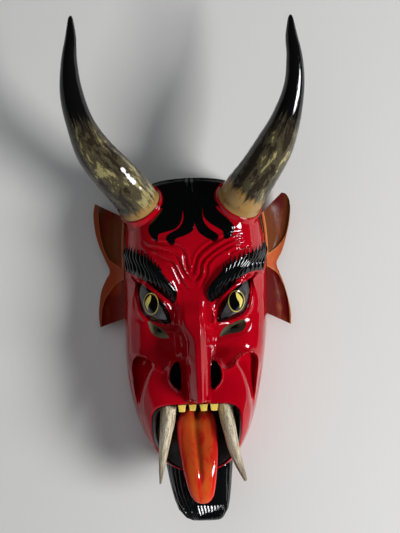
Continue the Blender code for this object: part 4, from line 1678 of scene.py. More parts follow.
# --- beard
@dataclass
class Beard:
    """The black tuft under the lower lip, carved in locks that fan out downwards."""

    frame: FaceFrame
    head: Head
    top: float = -122.0
    end: float = -204.0
    shares: tuple[float, ...] = (0.0, 0.05, 0.2, 0.37, 0.54, 0.69, 0.83, 0.943, 0.985, 1.0)
    half_widths: tuple[float, ...] = (0.0, 39.0, 41.0, 38.7, 36.4, 34.0, 30.2, 23.0, 16.0, 0.0)
    sway: float = 4.4
    back: float = 38.0
    front: float = 104.0
    back_lean: float = 40.0
    front_lean: float = 4.0
    end_half: float = 16.0
    locks: float = 8.0
    groove: float = 2.2
    side_groove: float = 1.1
    plainness: float = 0.8
    flick: float = 5.6
    flick_run: Pair = (0.74, 0.17)
    chip_peak: float = 0.7
    chip_wall: float = 0.3
    chip_depths: Pair = (1.6, 0.9)
    sharp_angle: float = math.radians(60.0)
    grid: tuple[int, int] = (300, 120)

    def surface(self) -> Array:
        """Return its rings of points, from its end up to the lip.

        Returns:
            The rings' points.
        """
        columns, rows = self.grid
        angle = around(columns)[None, :]
        height = -np.cos(np.linspace(0.02, math.pi - 0.02, rows))[:, None]
        share = (1.0 - height) / 2.0
        y = self.top + (self.end - self.top) * share + 0.0 * angle
        blunt = np.sqrt(1.0 - np.abs(2.0 * share - 1.0) ** 6)
        half = np.interp(share, self.shares, self.half_widths)
        front, back = self.front + self.front_lean * share, self.back + self.back_lean * share
        reach = squared(np.cos(angle), np.sin(angle), 3.0)
        x = half * reach * np.cos(angle)
        phase = self.locks * x / np.maximum(half, self.end_half) + 0.30 * np.sin(y * 0.07)
        phase = phase - 0.5 * smooth(0.7, 1.0, share)
        roundness = 0.5 + 0.5 * smooth(0.5, 0.9, share)
        strand = np.abs(np.sin(math.pi * phase)) ** roundness
        strand = strand * (1.0 - 0.25 * np.abs(np.sin(0.5 * math.pi * phase + 0.6)))
        plain = self.plainness * smooth(-8.0, 10.0, x) * smooth(0.85, 0.5, share)
        carved = self.groove * (1.0 - strand) * smooth(0.0, 0.12, share) * (1.0 - plain)
        z = (front + back) / 2.0 + (front - back) / 2.0 * blunt * reach * np.sin(angle)
        chipped = smooth(-18.0, -4.0, x) * smooth(0.2, 0.6, np.sin(angle))
        start, run = self.flick_run
        flick = np.clip((share - start) / run, 0.0, 1.0) - smooth(0.94, 1.0, share)
        z = z + self.flick * flick * chipped
        peak = self.chip_peak
        chip = np.maximum(1.0 - (phase % 1.0 / peak) ** 1.3, (phase % 1.0 - peak) / self.chip_wall)
        chipped = chipped * smooth(0.66, 0.76, share)
        depth, less = self.chip_depths
        depth = depth - less * smooth(6.0, 34.0, x)
        carved = carved * (1.0 - chipped) + depth * (1.0 - chip) * chipped
        z = z - np.where(np.sin(angle) > 0, 1.0, -1.0) * carved * smooth(0.0, 0.25, np.abs(np.sin(angle)))
        side = np.abs(np.sin(z * 0.42 + 0.5 * np.sin(y * 0.09))) ** 0.7
        carved = np.sign(np.cos(angle)) * self.side_groove * (1.0 - side)
        x = x - carved * smooth(0.5, 0.9, np.abs(np.cos(angle)))
        return np.stack((x + self.sway * share**2, y, z), axis=-1)

    def build(self, black: Surface) -> None:
        """Carve the beard, cut it clear of the mouth and hand it over.

        Args:
            black: the black lacquer.
        """
        rough = loft("beard", self.frame.place(self.surface()))
        rough.materials.append(black)
        beard = add_object("beard_rough", rough)
        outline = self.head.carving.mouth_outline(grow=2.4)
        pocket = self.head.stack("beard_pocket", outline, [(10, 0.93), (CLEAR, 1)])
        pocket = add_object("beard_pocket", pocket)
        modifier = beard.modifiers.new("pocket", "BOOLEAN")
        modifier.operation, modifier.object, modifier.solver = "DIFFERENCE", pocket, "EXACT"
        piece = baked(beard, "beard_carving")
        bpy.data.objects.remove(pocket)
        piece.data.materials.clear()
        piece.data.materials.append(black)
        shade(piece, self.sharp_angle)
        settle(piece, Slot.HEAD)


# --- node recipes
class NodeRecipe(NodeMaker):
    """A Geometry Nodes tree with named inputs."""

    def __init__(self, name: str) -> None:
        """Start a tree with its geometry sockets.

        Args:
            name: the tree's name.
        """
        super().__init__(bpy.data.node_groups.new(name, "GeometryNodeTree"))
        self.sockets: dict[str, str] = {}
        for way in ("INPUT", "OUTPUT"):
            self.tree.interface.new_socket("Geometry", in_out=way, socket_type="NodeSocketGeometry")
        self.source = self.tree.nodes.new("NodeGroupInput")
        self.sink = self.tree.nodes.new("NodeGroupOutput")

    def value(self, name: str, kind: str = "Float") -> Socket:
        """Add a named input and return its socket.

        Args:
            name: the input's name.
            kind: the type of the value.

        Returns:
            The input's socket.
        """
        made = self.tree.interface.new_socket(name, in_out="INPUT", socket_type="NodeSocket" + kind)
        self.sockets[name] = made.identifier
        return self.source.outputs[name]

    def keep(self, geometry: Socket, name: str, value: Socket, kind: str = "FLOAT") -> Socket:
        """Store a value a point on the geometry."""
        inputs = {"Geometry": geometry, "Name": name, "Value": value}
        return self.node("GeometryNodeStoreNamedAttribute", inputs, data_type=kind, domain="POINT")

    def finish(self, geometry: Socket, surface: Socket) -> None:
        """End the tree with plain geometry in one finish.

        Args:
            geometry: the finished geometry.
            surface: the finish it takes.
        """
        plain = self.node("GeometryNodeRealizeInstances", {"Geometry": geometry})
        dressed = self.node("GeometryNodeSetMaterial", {"Geometry": plain, "Material": surface})
        self.tree.links.new(dressed, self.sink.inputs[0])

    def run(self, base: Mesh, name: str, values: dict) -> Thing:
        """Run the tree on a mesh.

        Args:
            base: the mesh it starts from.
            name: the finished piece's name.
            values: the named inputs.

        Returns:
            The result as a plain mesh object.
        """
        rough = add_object(name + "_base", base)
        modifier = rough.modifiers.new(name, "NODES")
        modifier.node_group = self.tree
        for label, value in values.items():
            modifier[self.sockets[label]] = value
        return baked(rough, name)


class SweepTree(NodeRecipe):
    """Sweeps a circle along lines whose points know their girth, then roughens it.

    Horns, tusks and the strands of the brows are all this: tapering round bars with grain.
    """

    def __init__(self) -> None:
        """Build the tree."""
        super().__init__("tapering_bar")
        rings, sides = self.value("Rings", "Int"), self.value("Sides", "Int")
        grain, swell = self.value("Grain Depth"), self.value("Swell Depth")
        grain_scale, swell_scale = self.value("Grain Scale"), self.value("Swell Scale")
        ridge, spacing = self.value("Ridge Depth"), self.value("Ridge Spacing")
        ridge_end = self.value("Ridge End")
        seed, lit_side = self.value("Seed"), self.value("Pale Side", "Vector")
        surface = self.value("Finish", "Material")
        curve = self.node("GeometryNodeMeshToCurve", {"Mesh": self.source.outputs[0]})
        curve = self.node("GeometryNodeResampleCurve", {"Curve": curve, "Count": rings})
        length = self.node("GeometryNodeSplineParameter", {}, "Length")
        curve = self.keep(curve, "along", length)
        profile = self.node("GeometryNodeCurvePrimitiveCircle", {"Resolution": sides, "Radius": 1.0})
        profile = self.keep(profile, "around", self.node("GeometryNodeSplineParameter", {}, "Factor"))
        girth = self.node("GeometryNodeInputNamedAttribute", {"Name": "girth"}, data_type="FLOAT")
        swept = {"Curve": curve, "Profile Curve": profile, "Scale": girth, "Fill Caps": True}
        bar = self.node("GeometryNodeCurveToMesh", swept)
        along = self.node("GeometryNodeInputNamedAttribute", {"Name": "along"}, data_type="FLOAT")
        around = self.node("GeometryNodeInputNamedAttribute", {"Name": "around"}, data_type="FLOAT")
        turn = self.math("MULTIPLY", around, math.tau)
        parts = {"X": self.math("COSINE", turn), "Y": self.math("SINE", turn), "Z": along}
        flow = self.node("ShaderNodeCombineXYZ", parts)
        bar = self.keep(bar, "flow", flow, "FLOAT_VECTOR")
        normal = self.node("GeometryNodeInputNormal", {})
        # how far each point faces the lamps' side, kept as pale; the horn's finish paints that side lighter
        lit = self.node("ShaderNodeVectorMath", {0: normal, 1: lit_side}, "Value", operation="DOT_PRODUCT")
        bar = self.keep(bar, "pale", lit)
        grained = self.layer(flow, grain_scale, GRAIN_LENGTHWISE, grain, seed)
        offset = self.math("ADD", grained, self.layer(flow, swell_scale, SWELL_LENGTHWISE, swell, seed))
        wave = self.math("SINE", self.math("MULTIPLY", self.math("DIVIDE", along, spacing), math.tau))
        fade = self.math("MAXIMUM", self.math("SUBTRACT", 1.0, self.math("DIVIDE", along, ridge_end)), 0.0)
        offset = self.math("ADD", offset, self.math("MULTIPLY", self.math("MULTIPLY", wave, ridge), fade))
        push = self.node("ShaderNodeVectorMath", {0: normal, "Scale": offset}, operation="SCALE")
        bar = self.node("GeometryNodeSetPosition", {"Geometry": bar, "Offset": push})
        self.finish(self.node("GeometryNodeSetShadeSmooth", {"Geometry": bar}), surface)

    def layer(self, flow: Socket, scale: Socket, lengthwise: float, depth: Socket, seed: Socket) -> Socket:
        """Add one layer of noise relief.

        Args:
            flow: the place around and along the bar.
            scale: the noise's scale around the bar.
            lengthwise: its scale along the bar, in features a metre.
            depth: how deep it is, in metres.
            seed: which pattern it takes.

        Returns:
            The height to add.
        """
        stretch = (1.0, 1.0, lengthwise)
        stretched = self.node("ShaderNodeVectorMath", {0: flow, 1: stretch}, operation="MULTIPLY")
        inputs = {"Vector": stretched, "W": seed, "Scale": scale, "Detail": 4.0}
        noise = self.node("ShaderNodeTexNoise", inputs, noise_dimensions="4D")
        return self.math("MULTIPLY", self.math("SUBTRACT", noise, 0.5), depth)

    def sweep(self, name: str, lines: list[Array], girths: list[Array], values: dict) -> Thing:
        """Sweep along lines in metres with the given girths and return the bars.

        Args:
            name: the piece's name.
            lines: the centre lines.
            girths: the radii along each line.
            values: the named inputs.

        Returns:
            The bars as one object.
        """
        edges, start = [], 0
        for line in lines:
            edges += [(start + i, start + i + 1) for i in range(len(line) - 1)]
            start += len(line)
        mesh = bpy.data.meshes.new(name + "_line")
        mesh.from_pydata(np.vstack(lines).tolist(), edges, [])
        store(mesh, "girth", np.concatenate(girths))
        return self.run(mesh, name, values)


class ToothTree(NodeRecipe):
    """Sets one rounded wedge on each given point, each a little different."""

    turns: tuple[Triple, Triple] = ((-0.05, -0.06, -0.05), (0.05, 0.06, 0.05))
    growths: tuple[Triple, Triple] = ((0.95, 0.93, 0.95), (1.04, 1.07, 1.05))

    def __init__(self) -> None:
        """Build the tree."""
        super().__init__("tooth_row")
        size, taper = self.value("Tooth Size", "Vector"), self.value("End Share")
        seed, surface = self.value("Seed", "Int"), self.value("Finish", "Material")
        block = self.node("GeometryNodeMeshCube", {"Size": size})
        place = self.node("GeometryNodeInputPosition", {})
        across, up, out = self.split(place)
        top = self.node("FunctionNodeCompare", {0: up, 1: 0.0}, operation="GREATER_THAN")
        shares = {"Switch": top, "False": taper, "True": 1.0}
        share = self.node("GeometryNodeSwitch", shares, input_type="FLOAT")
        parts = {"X": self.math("MULTIPLY", across, share), "Y": up, "Z": out}
        tapered = self.node("ShaderNodeCombineXYZ", parts)
        wedge = self.node("GeometryNodeSetPosition", {"Geometry": block, "Position": tapered})
        wedge = self.node("GeometryNodeSubdivisionSurface", {"Mesh": wedge, "Level": 4, "Edge Crease": 0.72})
        wedge = self.node("GeometryNodeSetShadeSmooth", {"Geometry": wedge})
        drawn = []
        for low, high in (self.turns, self.growths):
            inputs = {"Min": low, "Max": high, "Seed": seed}
            drawn.append(self.node("FunctionNodeRandomValue", inputs, data_type="FLOAT_VECTOR"))
        turn, grow = drawn
        rotation = self.node("FunctionNodeEulerToRotation", {0: turn})
        inputs = {"Points": self.source.outputs[0], "Instance": wedge, "Rotation": rotation, "Scale": grow}
        self.finish(self.node("GeometryNodeInstanceOnPoints", inputs), surface)


@dataclass(frozen=True)
class BarRelief:
    """How a swept bar is meshed and roughened; depths and lengths are in millimetres."""

    rings: int
    sides: int
    grain: float
    grain_scale: float
    swell: float
    swell_scale: float
    ridge: float = 0.0
    ridge_spacing: float = 10.0
    ridge_end: float = 50.0

    def inputs(self, seed: float, lit_side: Triple, finish: Surface) -> dict:
        """Name the tree's inputs.

        Args:
            seed: which pattern the noise takes.
            lit_side: the way the paler side faces, towards the lamps; on the horns a painted lighter side.
            finish: the finish to dress the bar in.

        Returns:
            The inputs' values.
        """
        lengths = {"Grain Depth": self.grain, "Swell Depth": self.swell, "Ridge Depth": self.ridge}
        lengths |= {"Ridge Spacing": self.ridge_spacing, "Ridge End": self.ridge_end}
        counts = {"Rings": self.rings, "Sides": self.sides}
        scales = {"Grain Scale": self.grain_scale, "Swell Scale": self.swell_scale}
        placed = {"Seed": seed, "Pale Side": lit_side, "Finish": finish}
        return counts | scales | placed | {name: length * MM for name, length in lengths.items()}


# --- brows
@dataclass
class Brows:
    """The rounded strands of both brows, carved side by side on the face."""

    frame: FaceFrame
    blank: HeadBlank
    carving: Carving
    tree: SweepTree
    relief: BarRelief = BarRelief(40, 16, 0.12, 2.0, 0.4, 1.0)
    seed: float = 3.0
    sink: float = -0.15
    root_drop: float = 2.5
    tip_drop: float = 0.4

    def bars(self) -> tuple[list[Array], list[Array]]:
        """Return the strands' centre lines in the part's frame, and their radii in metres.

        Returns:
            The lines and the radii.
        """
        lines, girths = [], []
        for side in Side:
            for path, radius in self.carving.strands(side):
                x, y = side.value * path[:, 0], path[:, 1]
                place = np.linspace(0.0, 1.0, len(radius))
                z = self.blank.level(x, y) + self.carving.height(x, y) + self.sink * radius
                z = z - self.root_drop * smooth(0.14, 0.0, place) - self.tip_drop * smooth(0.8, 1.0, place)
                lines.append(self.frame.place(np.column_stack((self.blank.lean(x, y), y, z))))
                girths.append(radius * MM)
        return lines, girths

    def build(self, black: Surface) -> None:
        """Shape the strands and hand them over.

        Args:
            black: the black lacquer.
        """
        values = self.relief.inputs(self.seed, (0.0, 0.0, 1.0), black)
        settle(self.tree.sweep("brow_strands", *self.bars(), values), Slot.HEAD)


# --- horns
@dataclass
class Horns:
    """The pair of cow horns, alike but not twins."""

    frame: FaceFrame
    head: Head
    tree: SweepTree
    relief: BarRelief = BarRelief(220, 96, 0.2, 6.0, 1.2, 0.8, 0.22, 11.0, 120.0)
    gap: float = 0.3
    first_step: float = 24.0
    tip_share: float = 0.975

    def line(self, side: Side) -> tuple[Array, Array]:
        """Return a horn's centre line and radii, in face millimetres.

        Args:
            side: which half of the mask.

        Returns:
            The centre line and the radii.
        """
        seat, axis = self.head.seat(side)
        start = [tuple(seat + axis * self.gap), tuple(seat + axis * self.first_step)]
        if side is Side.LEFT:
            free = [(-89, 217.5, 101), (-111, 245, 108), (-126, 278.5, 112), (-134.8, 315, 113)]
            free += [(-136.1, 350.7, 112)]
            free += [(-133.6, 381, 110), (-133.2, 408, 107)]
            radii = [27.0, 25.8, 24.9, 22.2, 16.6, 13.7, 9.7, 6.7, 2.4]
        else:
            free = [(86.8, 216.6, 102), (105, 245, 108), (120.3, 279, 112), (129.7, 313.5, 113)]
            free += [(131.4, 346, 112)]
            free += [(129.1, 373, 110), (129.2, 399.5, 107)]
            radii = [28.5, 26.4, 24.5, 22.4, 16.9, 12.4, 9.6, 7.1, 2.4]
        share = np.linspace(0.0, 1.0, 150)
        tip = np.clip((share - self.tip_share) / (1.0 - self.tip_share), 0.0, 0.995)
        girth = spline([(radius,) for radius in radii], 150)[:, 0] * np.sqrt(1.0 - tip**2)
        return spline(start + free, 150), girth

    def build(self) -> None:
        """Grow both horns and hand them over."""
        for side in Side:
            line, girth = self.line(side)
            length = float(np.linalg.norm(np.diff(line, axis=0), axis=1).sum()) * MM
            # each horn is painted paler on its side towards the lamps, a painted lighter side
            if side is Side.LEFT:
                finish = HornFinish(length, 3.1, tan_end=0.07, darkness=0.07)
                values = self.relief.inputs(1.0, (0.85, 0.1, 0.5), finish.build())
            else:
                finish = HornFinish(length, 8.4, tan_end=0.12, darkness=0.09)
                values = self.relief.inputs(5.0, (0.5, 0.1, 0.2), finish.build())
            piece = self.tree.sweep("cow_horn_" + side.label, [self.frame.place(line)], [girth * MM], values)
            settle(piece, Slot.HORN, "horn_" + side.label)


@dataclass
class Tusks:
    """The two antler tusks that hang from the upper lip."""

    frame: FaceFrame
    tree: SweepTree
    relief: BarRelief = BarRelief(150, 72, 1.1, 4.0, 2.0, 1.0)
    least_radius: float = 0.4
    seeds: dict[Side, float] = field(default_factory=lambda: {Side.LEFT: 2.0, Side.RIGHT: 7.0})

    def line(self, side: Side) -> tuple[Array, Array]:
        """Return a tusk's centre line and radii, in face millimetres.

        Args:
            side: which half of the mask.

        Returns:
            The centre line and the radii.
        """
        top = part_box("tusk_" + side.label)[1].y / MM - self.frame.up
        if side is Side.LEFT:
            points = [(-36, -76, 88), (-39, -98, 101), (-43, -122, 112), (-46.6, -151, 121)]
            radii = [9.4, 9.6, 7.2, 4.9, 1.0]
        else:
            points = [(34.8, -76, 88), (39, -100, 101), (44.6, -125, 112), (54, -151, 121)]
            radii = [9.4, 9.0, 7.6, 5.8, 1.8]
        across, out = TUSK_ROOT[side]
        girth = spline([(radius,) for radius in radii], 70)[:, 0]
        return spline([(across, top, out)] + points, 70), np.maximum(girth, self.least_radius)

    def build(self, finish: Surface) -> None:
        """Shape both tusks and hand them over.

        Args:
            finish: the finish to dress it in.
        """
        for side in Side:
            line, girth = self.line(side)
            values = self.relief.inputs(self.seeds[side], (0.6, 0.2, 0.7), finish)
            name = "antler_tusk_" + side.label
            piece = self.tree.sweep(name, [self.frame.place(line)], [girth * MM], values)
            settle(piece, Slot.ANTLER, "tusk_" + side.label)


@dataclass
class Teeth:
    """The row of four upper teeth."""

    frame: FaceFrame
    centres: tuple[float, ...] = (-18.4, -5.4, 7.8, 20.4)
    level: float = -64.2
    height: float = 99.0
    size: Triple = (10.9, 12.0, 9.5)
    end_share: float = 0.64
    seed: int = 4

    def build(self, finish: Surface) -> None:
        """Set the teeth and hand them over.

        Args:
            finish: the finish to dress it in.
        """
        points = self.frame.place(np.array([(x, self.level, self.height) for x in self.centres]))
        base = bpy.data.meshes.new("tooth_places")
        base.from_pydata(points.tolist(), [], [])
        tree = ToothTree()
        size = tuple(value * MM for value in self.size)
        values = {"Tooth Size": size, "End Share": self.end_share, "Seed": self.seed, "Finish": finish}
        settle(tree.run(base, "upper_teeth", values), Slot.HEAD)


# --- ears
@dataclass
class Ears:
    """The two leaf-shaped ears, each with a tall dished lobe over a short one."""

    frame: FaceFrame
    blank: HeadBlank
    thickness: float = 7.0
    thinnest: float = 2.2
    edge_thickness: float = 1.6
    gap: float = -0.9
    dish_depth: float = 4.5
    dish_run: float = 4.0
    inner_rim: float = 2.6
    inner_levels: Pair = (40.0, 168.0)
    rim_end: float = 100.0
    root_level: float = 39.5
    edge_drop: float = 16.0
    sag: float = 5.0
    sharp_angle: float = math.radians(55.0)
    grid: tuple[int, int] = (60, 160)

    def edge(self, side: Side) -> Array:
        """Return the ear's outer edge from its lower to its upper tip, read evenly by length.

        Args:
            side: which half of the mask.

        Returns:
            The edge's points.
        """
        if side is Side.LEFT:
            points = [(-122, 29), (-123, 40), (-122.5, 54), (-119, 75), (-112.5, 90), (-107, 101)]
            points += [(-113, 117), (-119.5, 134), (-124, 153), (-125.5, 174), (-123, 189)]
        else:
            points = [(124.5, 24), (125, 38), (123, 54), (118, 75), (112.5, 91), (109, 104)]
            points += [(116, 118), (121, 132), (126, 150), (129, 168), (129.3, 178), (128, 187), (124.5, 193)]
            points += [(119.5, 195)]
        fine = spline(points, 400)
        length = np.concatenate(([0.0], np.cumsum(np.hypot(*np.diff(fine, axis=0).T))))
        even = np.linspace(0.0, length[-1], self.grid[1])
        return np.column_stack([np.interp(even, length, fine[:, axis]) for axis in (0, 1)])

    def dishes(self, side: Side) -> list[Array]:
        """Return the edges of the upper and the lower dish; each dish lies right of travel.

        Args:
            side: which half of the mask.

        Returns:
            The two edges.
        """
        if side is Side.LEFT:
            upper = [(-93.7, 105.8), (-101.8, 111), (-108.1, 117.1), (-114, 131.5), (-117.6, 148.4)]
            upper += [(-118.8, 162.7), (-119.1, 176.9), (-120.2, 190)]
            lower = [(-120.8, 30), (-119.3, 49.1), (-116.7, 59.3), (-112.5, 68.2), (-105.7, 77)]
            lower += [(-100.3, 83.9), (-92.4, 88.7), (-84, 91)]
        else:
            upper = [(131, 194), (128.4, 166), (125.2, 150), (121.6, 138.5), (115, 129.4), (108.6, 122.7)]
            upper += [(100.4, 117.5), (94, 113), (86, 108)]
            lower = [(86, 102.5), (95.2, 100.9), (100.3, 98.1), (105.3, 94.7), (108.4, 92), (111.5, 88)]
            lower += [(116, 78), (120, 66), (122.5, 52), (123.5, 38), (123.5, 20)]
        return [spline(points, 30) for points in (upper, lower)]

    def level(self, share: Array) -> Array:
        """Return an ear's height over its share of the way out from the head, before its dishes."""
        return self.root_level - self.edge_drop * share - self.sag * np.sin(math.pi * share)

    def front(self, side: Side) -> tuple[Array, Array]:
        """Return the front face's points, rows of them, and how far inside a dish each one is.

        Args:
            side: which half of the mask.

        Returns:
            The points and the distances.
        """
        columns, rows = self.grid
        across, up = np.meshgrid(np.linspace(0.0, 1.0, columns), np.linspace(0.0, 1.0, rows))
        inner_y = self.inner_levels[0] + (self.inner_levels[1] - self.inner_levels[0]) * up
        inner = self.blank.lean(side.value * (self.blank.half_width_at(inner_y) + self.gap), inner_y)
        outer = self.edge(side)
        x = inner + (outer[:, 0:1] - inner) * across
        y = inner_y + (outer[:, 1:2] - inner_y) * across
        dished = np.full(x.shape, -FAR)
        for line in self.dishes(side):
            distance, turn, _ = line_distance(x, y, line)
            dished = np.maximum(dished, distance * turn)
        inside_rim = (np.abs(x - inner) - self.inner_rim) * 0.7 + FAR * (y < self.rim_end)
        dished = np.clip(np.minimum(dished, inside_rim), -FAR, FAR)
        z = self.level(across) - self.dish_depth * (1.0 - np.exp(-np.maximum(dished, 0.0) / self.dish_run))
        return np.stack((x, y, z), axis=-1), dished

    def build(self, finishes: dict[Side, Surface]) -> None:
        """Shape both ears and hand them over.

        Args:
            finishes: each ear's finish.
        """
        for side, finish in finishes.items():
            front, dished = self.front(side)
            rows, columns = front.shape[:2]
            share = np.linspace(0.0, 1.0, columns)[None, :]
            up = np.linspace(0.0, 1.0, rows)[:, None]
            full = np.sqrt(np.clip(1.0 - share**8, 0.0, 1.0)) * (1.0 - np.abs(2.0 * up - 1.0) ** 24) ** 0.5
            back, z = front.copy(), front[:, :, 2]
            inner = np.minimum(z - self.thinnest, self.level(share) - self.thickness)
            back[:, :, 2] = inner * full + (z - self.edge_thickness) * (1.0 - full)
            rings = np.concatenate((front, back[:, ::-1]), axis=1)
            count = 2 * columns
            faces = sheet_faces(rows, count, True)
            for row in (0, rows - 1):
                start = row * count
                for near_edge in range(start, start + columns - 1):
                    far_edge = 2 * start + count - 1 - near_edge
                    faces.append((near_edge, near_edge + 1, far_edge - 1, far_edge))
            mesh = make_mesh("ear_" + side.label, self.frame.place(rings.reshape(-1, 3)), faces)
            store(mesh, "dished", np.concatenate((dished, np.full_like(dished, -FAR)), axis=1).ravel())
            mesh.materials.append(finish)
            piece = add_object("painted_ear_" + side.label, mesh)
            shade(piece, self.sharp_angle)
            settle(piece, Slot.EAR, "ear_" + side.label)


# --- tongue
@dataclass
class Tongue:
    """The long tongue that hangs over the lower lip."""

    frame: FaceFrame
    half_width: float = 24.6
    narrowing: float = 8.6
    half_thickness: float = 9.0
    groove_depth: float = 2.6
    groove_widths: Pair = (5.4, 3.0)
    notch: float = 8.0
    notch_width: float = 5.5
    roundness: float = 2.4
    sharp_angle: float = math.radians(70.0)
    grid: tuple[int, int] = (160, 150)

    def build(self, finish: Surface) -> None:
        """Shape the tongue and hand it over.

        Args:
            finish: the finish to dress it in.
        """
        columns, rows = self.grid
        angle = around(columns)[None, :]
        share = (1.0 - np.cos(np.linspace(0.03, math.pi - 0.03, rows)))[:, None] / 2.0
        middle = [(-1, -70.5, 70), (-1.5, -95, 86), (0.5, -125, 108), (1.5, -150, 119), (3, -177, 118)]
        centre = spline(middle, 401)[np.clip((share[:, 0] * 400).astype(int), 0, 400)]
        power = self.roundness
        blunt = (1.0 - np.abs(2.0 * share - 1.0) ** 5) ** (1.0 / power)
        half = (self.half_width - self.narrowing * smooth(0.2, 1.0, share)) * blunt
        reach = squared(np.cos(angle), np.sin(angle), power)
        offset = half * reach * np.cos(angle)
        top = np.where(np.sin(angle) > 0, np.abs(np.sin(angle)) ** 0.5, 0.0)
        wide, less = self.groove_widths
        groove = bell(offset, wide - less * smooth(0.1, 0.8, share)) * smooth(0.86, 0.55, share) * top
        notch = self.notch * bell(offset, self.notch_width) * smooth(0.16, 0.0, share)
        x = centre[:, 0:1] + offset
        y = centre[:, 1:2] - notch + 0.0 * angle
        z = centre[:, 2:3] + self.half_thickness * blunt * reach * np.sin(angle)
        z = z - self.groove_depth * groove * blunt
        mesh = loft("tongue", self.frame.place(np.stack((x, y, z), axis=-1)))
        edge = np.abs(np.cos(angle)) ** 1.5 + 0.0 * share
        store(mesh, "edge", edge.ravel())
        store(mesh, "groove", (groove + 0.0 * edge).ravel())
        mesh.materials.append(finish)
        piece = add_object("painted_tongue", mesh)
        shade(piece, self.sharp_angle)
        settle(piece, Slot.TONGUE, "tongue")


# --- room
@dataclass(frozen=True)
class Lamp:
    """A soft rectangular lamp that looks at the mask."""

    name: str
    place: Triple
    size: Pair
    energy: float
    colour: Triple = (1.0, 1.0, 1.0)
    diffuse: bool = True
    glossy: bool = True
    aim: Triple = (0.0, -0.05, 0.06)

    def build(self) -> None:
        """Hang the lamp."""
        light = bpy.data.lights.new(self.name, "AREA")
        light.shape = "RECTANGLE"
        light.size, light.size_y = self.size
        light.energy = self.energy
        light.color = self.colour
        lamp = bpy.data.objects.new(self.name, light)
        bpy.context.scene.collection.objects.link(lamp)
        lamp.visible_diffuse, lamp.visible_glossy = self.diffuse, self.glossy
        lamp.location = self.place
        lamp.rotation_euler = (Vector(self.aim) - Vector(self.place)).to_track_quat("-Z", "Y").to_euler()


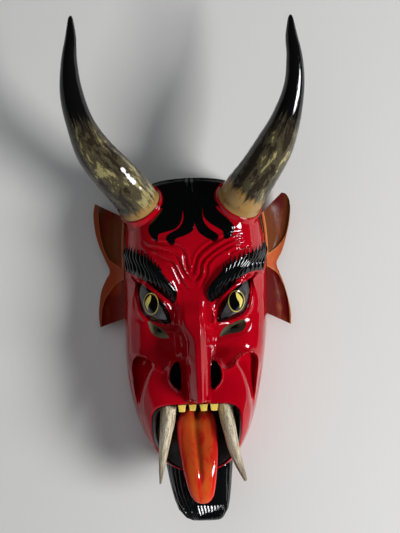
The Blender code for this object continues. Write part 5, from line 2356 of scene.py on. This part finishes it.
@dataclass(frozen=True)
class Studio:
    """The pale floor, the lamps, the room's dim surround and the camera."""

    floor_half: float = 4.0
    camera_place: Triple = (0.01299, 0.00048, 1.1)
    camera_turn: float = math.radians(-2.2)
    lens: float = 56.2
    overhead: float = 0.02
    horizon: Triple = (0.22, -0.17, -0.04)
    dimming: Pair = (0.22, 0.5)
    dim_levels: Pair = (0.0, 0.22)
    sky: tuple[float, ...] = (0.93, 0.95, 1.0, 1.0)
    lamps: tuple[Lamp, ...] = (
        Lamp("daylight", (2.15, -0.98, 1.7), (1.1, 0.8), 94.0, (1.0, 0.99, 0.97), glossy=False),
        Lamp("window", (2.24, 0.84, 1.66), (0.8, 0.95), 88.0, (0.95, 0.97, 1.0), diffuse=False),
        Lamp("room", (-0.7, 1.0, 2.6), (3.2, 3.2), 23.0, (0.97, 0.98, 1.0), glossy=False),
    )

    def surround(self) -> bpy.types.World:
        """Return the room's light: dark overhead and brighter low down, most of all to the lower right.

        Returns:
            The world.
        """
        world = bpy.data.worlds.new("surround")
        world.use_nodes = True
        nodes = NodeMaker(world.node_tree)
        background = nodes.tree.nodes["Background"]
        background.inputs["Color"].default_value = self.sky
        across, up, out = nodes.split(nodes.node("ShaderNodeTexCoord", {}, "Generated"))

        def weighted(first: float | Socket, per_across: float, per_up: float) -> Socket:
            """Add the weighted x and y of the way looked in to the first value."""
            first = nodes.math("MULTIPLY_ADD", across, per_across, first)
            return nodes.math("MULTIPLY_ADD", up, per_up, first)

        height = weighted(out, *self.dimming)
        strength = nodes.ramp(height, *self.dim_levels, weighted(*self.horizon), self.overhead)
        nodes.tree.links.new(strength, background.inputs["Strength"])
        return world

    def build(self) -> None:
        """Set the room up."""
        half = self.floor_half
        mesh = bpy.data.meshes.new("floor")
        corners = [(-half, -half, 0), (half, -half, 0), (half, half, 0), (-half, half, 0)]
        mesh.from_pydata(corners, [], [(0, 1, 2, 3)])
        mesh.materials.append(FloorFinish().build())
        add_object("floor", mesh)
        for lamp in self.lamps:
            lamp.build()
        scene = bpy.context.scene
        scene.view_settings.view_transform = "Standard"
        scene.world = self.surround()
        lens = bpy.data.cameras.new("camera")
        lens.lens = self.lens
        camera = bpy.data.objects.new("camera", lens)
        scene.collection.objects.link(camera)
        camera.location = self.camera_place
        camera.rotation_euler = (0.0, 0.0, self.camera_turn)
        scene.camera = camera


def main() -> None:
    """Load the frame, build every piece and note the sizes."""
    logging.basicConfig(level=logging.INFO, format="%(message)s")
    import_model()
    blank = HeadBlank()
    frame = blank.frame_in(Beard.end)
    black = BlackFinish().build()
    head = Head(blank, frame, Carving())
    # The eye slots' walls are bare wood, painted lighter in the left slot as painted light and darker in the
    # right slot as painted shade, standing in for the light seen through each slot
    lit_slot = BareWoodFinish("lit_slot_wood", (0.26, 0.23, 0.15), (0.18, 0.16, 0.10), (0.13, 0.11, 0.07))
    brown = BareWoodFinish("shaded_slot_wood", (0.10, 0.085, 0.05), (0.05, 0.042, 0.02), (0.03, 0.025, 0.010))
    slot_shading = {Side.LEFT: lit_slot.build(), Side.RIGHT: brown.build()}
    # the mouth's lighter grey low down is a painted reflection on its glossy floor
    worn, painted_sheen = (0.045, 0.026, 0.016), (0.13, 0.135, 0.14)
    mouth = BlackFinish("mouth_black", (0.010, 0.006, 0.005), worn, 0.25, painted_sheen)
    head.build(LacquerFinish().build(), mouth.build(), BareWoodFinish().build(), slot_shading)
    Beard(frame, head).build(black)
    Teeth(frame).build(ToothFinish().build())
    sweep = SweepTree()
    Brows(frame, blank, head.carving, sweep).build(black)
    Horns(frame, head, sweep).build()
    Tusks(frame, sweep).build(AntlerFinish().build())
    # The left ear gets its own copy of the paint for the shade it stands in: a darker rim and line as painted
    # shade, and dish colours set apart from the right ear's to suit that shade
    left_ear_shading = (0.40, 0.16, 0.045), (0.13, 0.006, 0.002), (0.12, 0.026, 0.004), (0.26, 0.025, 0.005)
    ears = {Side.LEFT: EarFinish((0.30, 0.055, 0.018), *left_ear_shading), Side.RIGHT: EarFinish((0.46, 0.09, 0.027))}
    Ears(frame, blank).build({side: finish.build() for side, finish in ears.items()})
    Tongue(frame).build(TongueFinish().build())
    Studio().build()


if __name__ == "__main__":
    main()
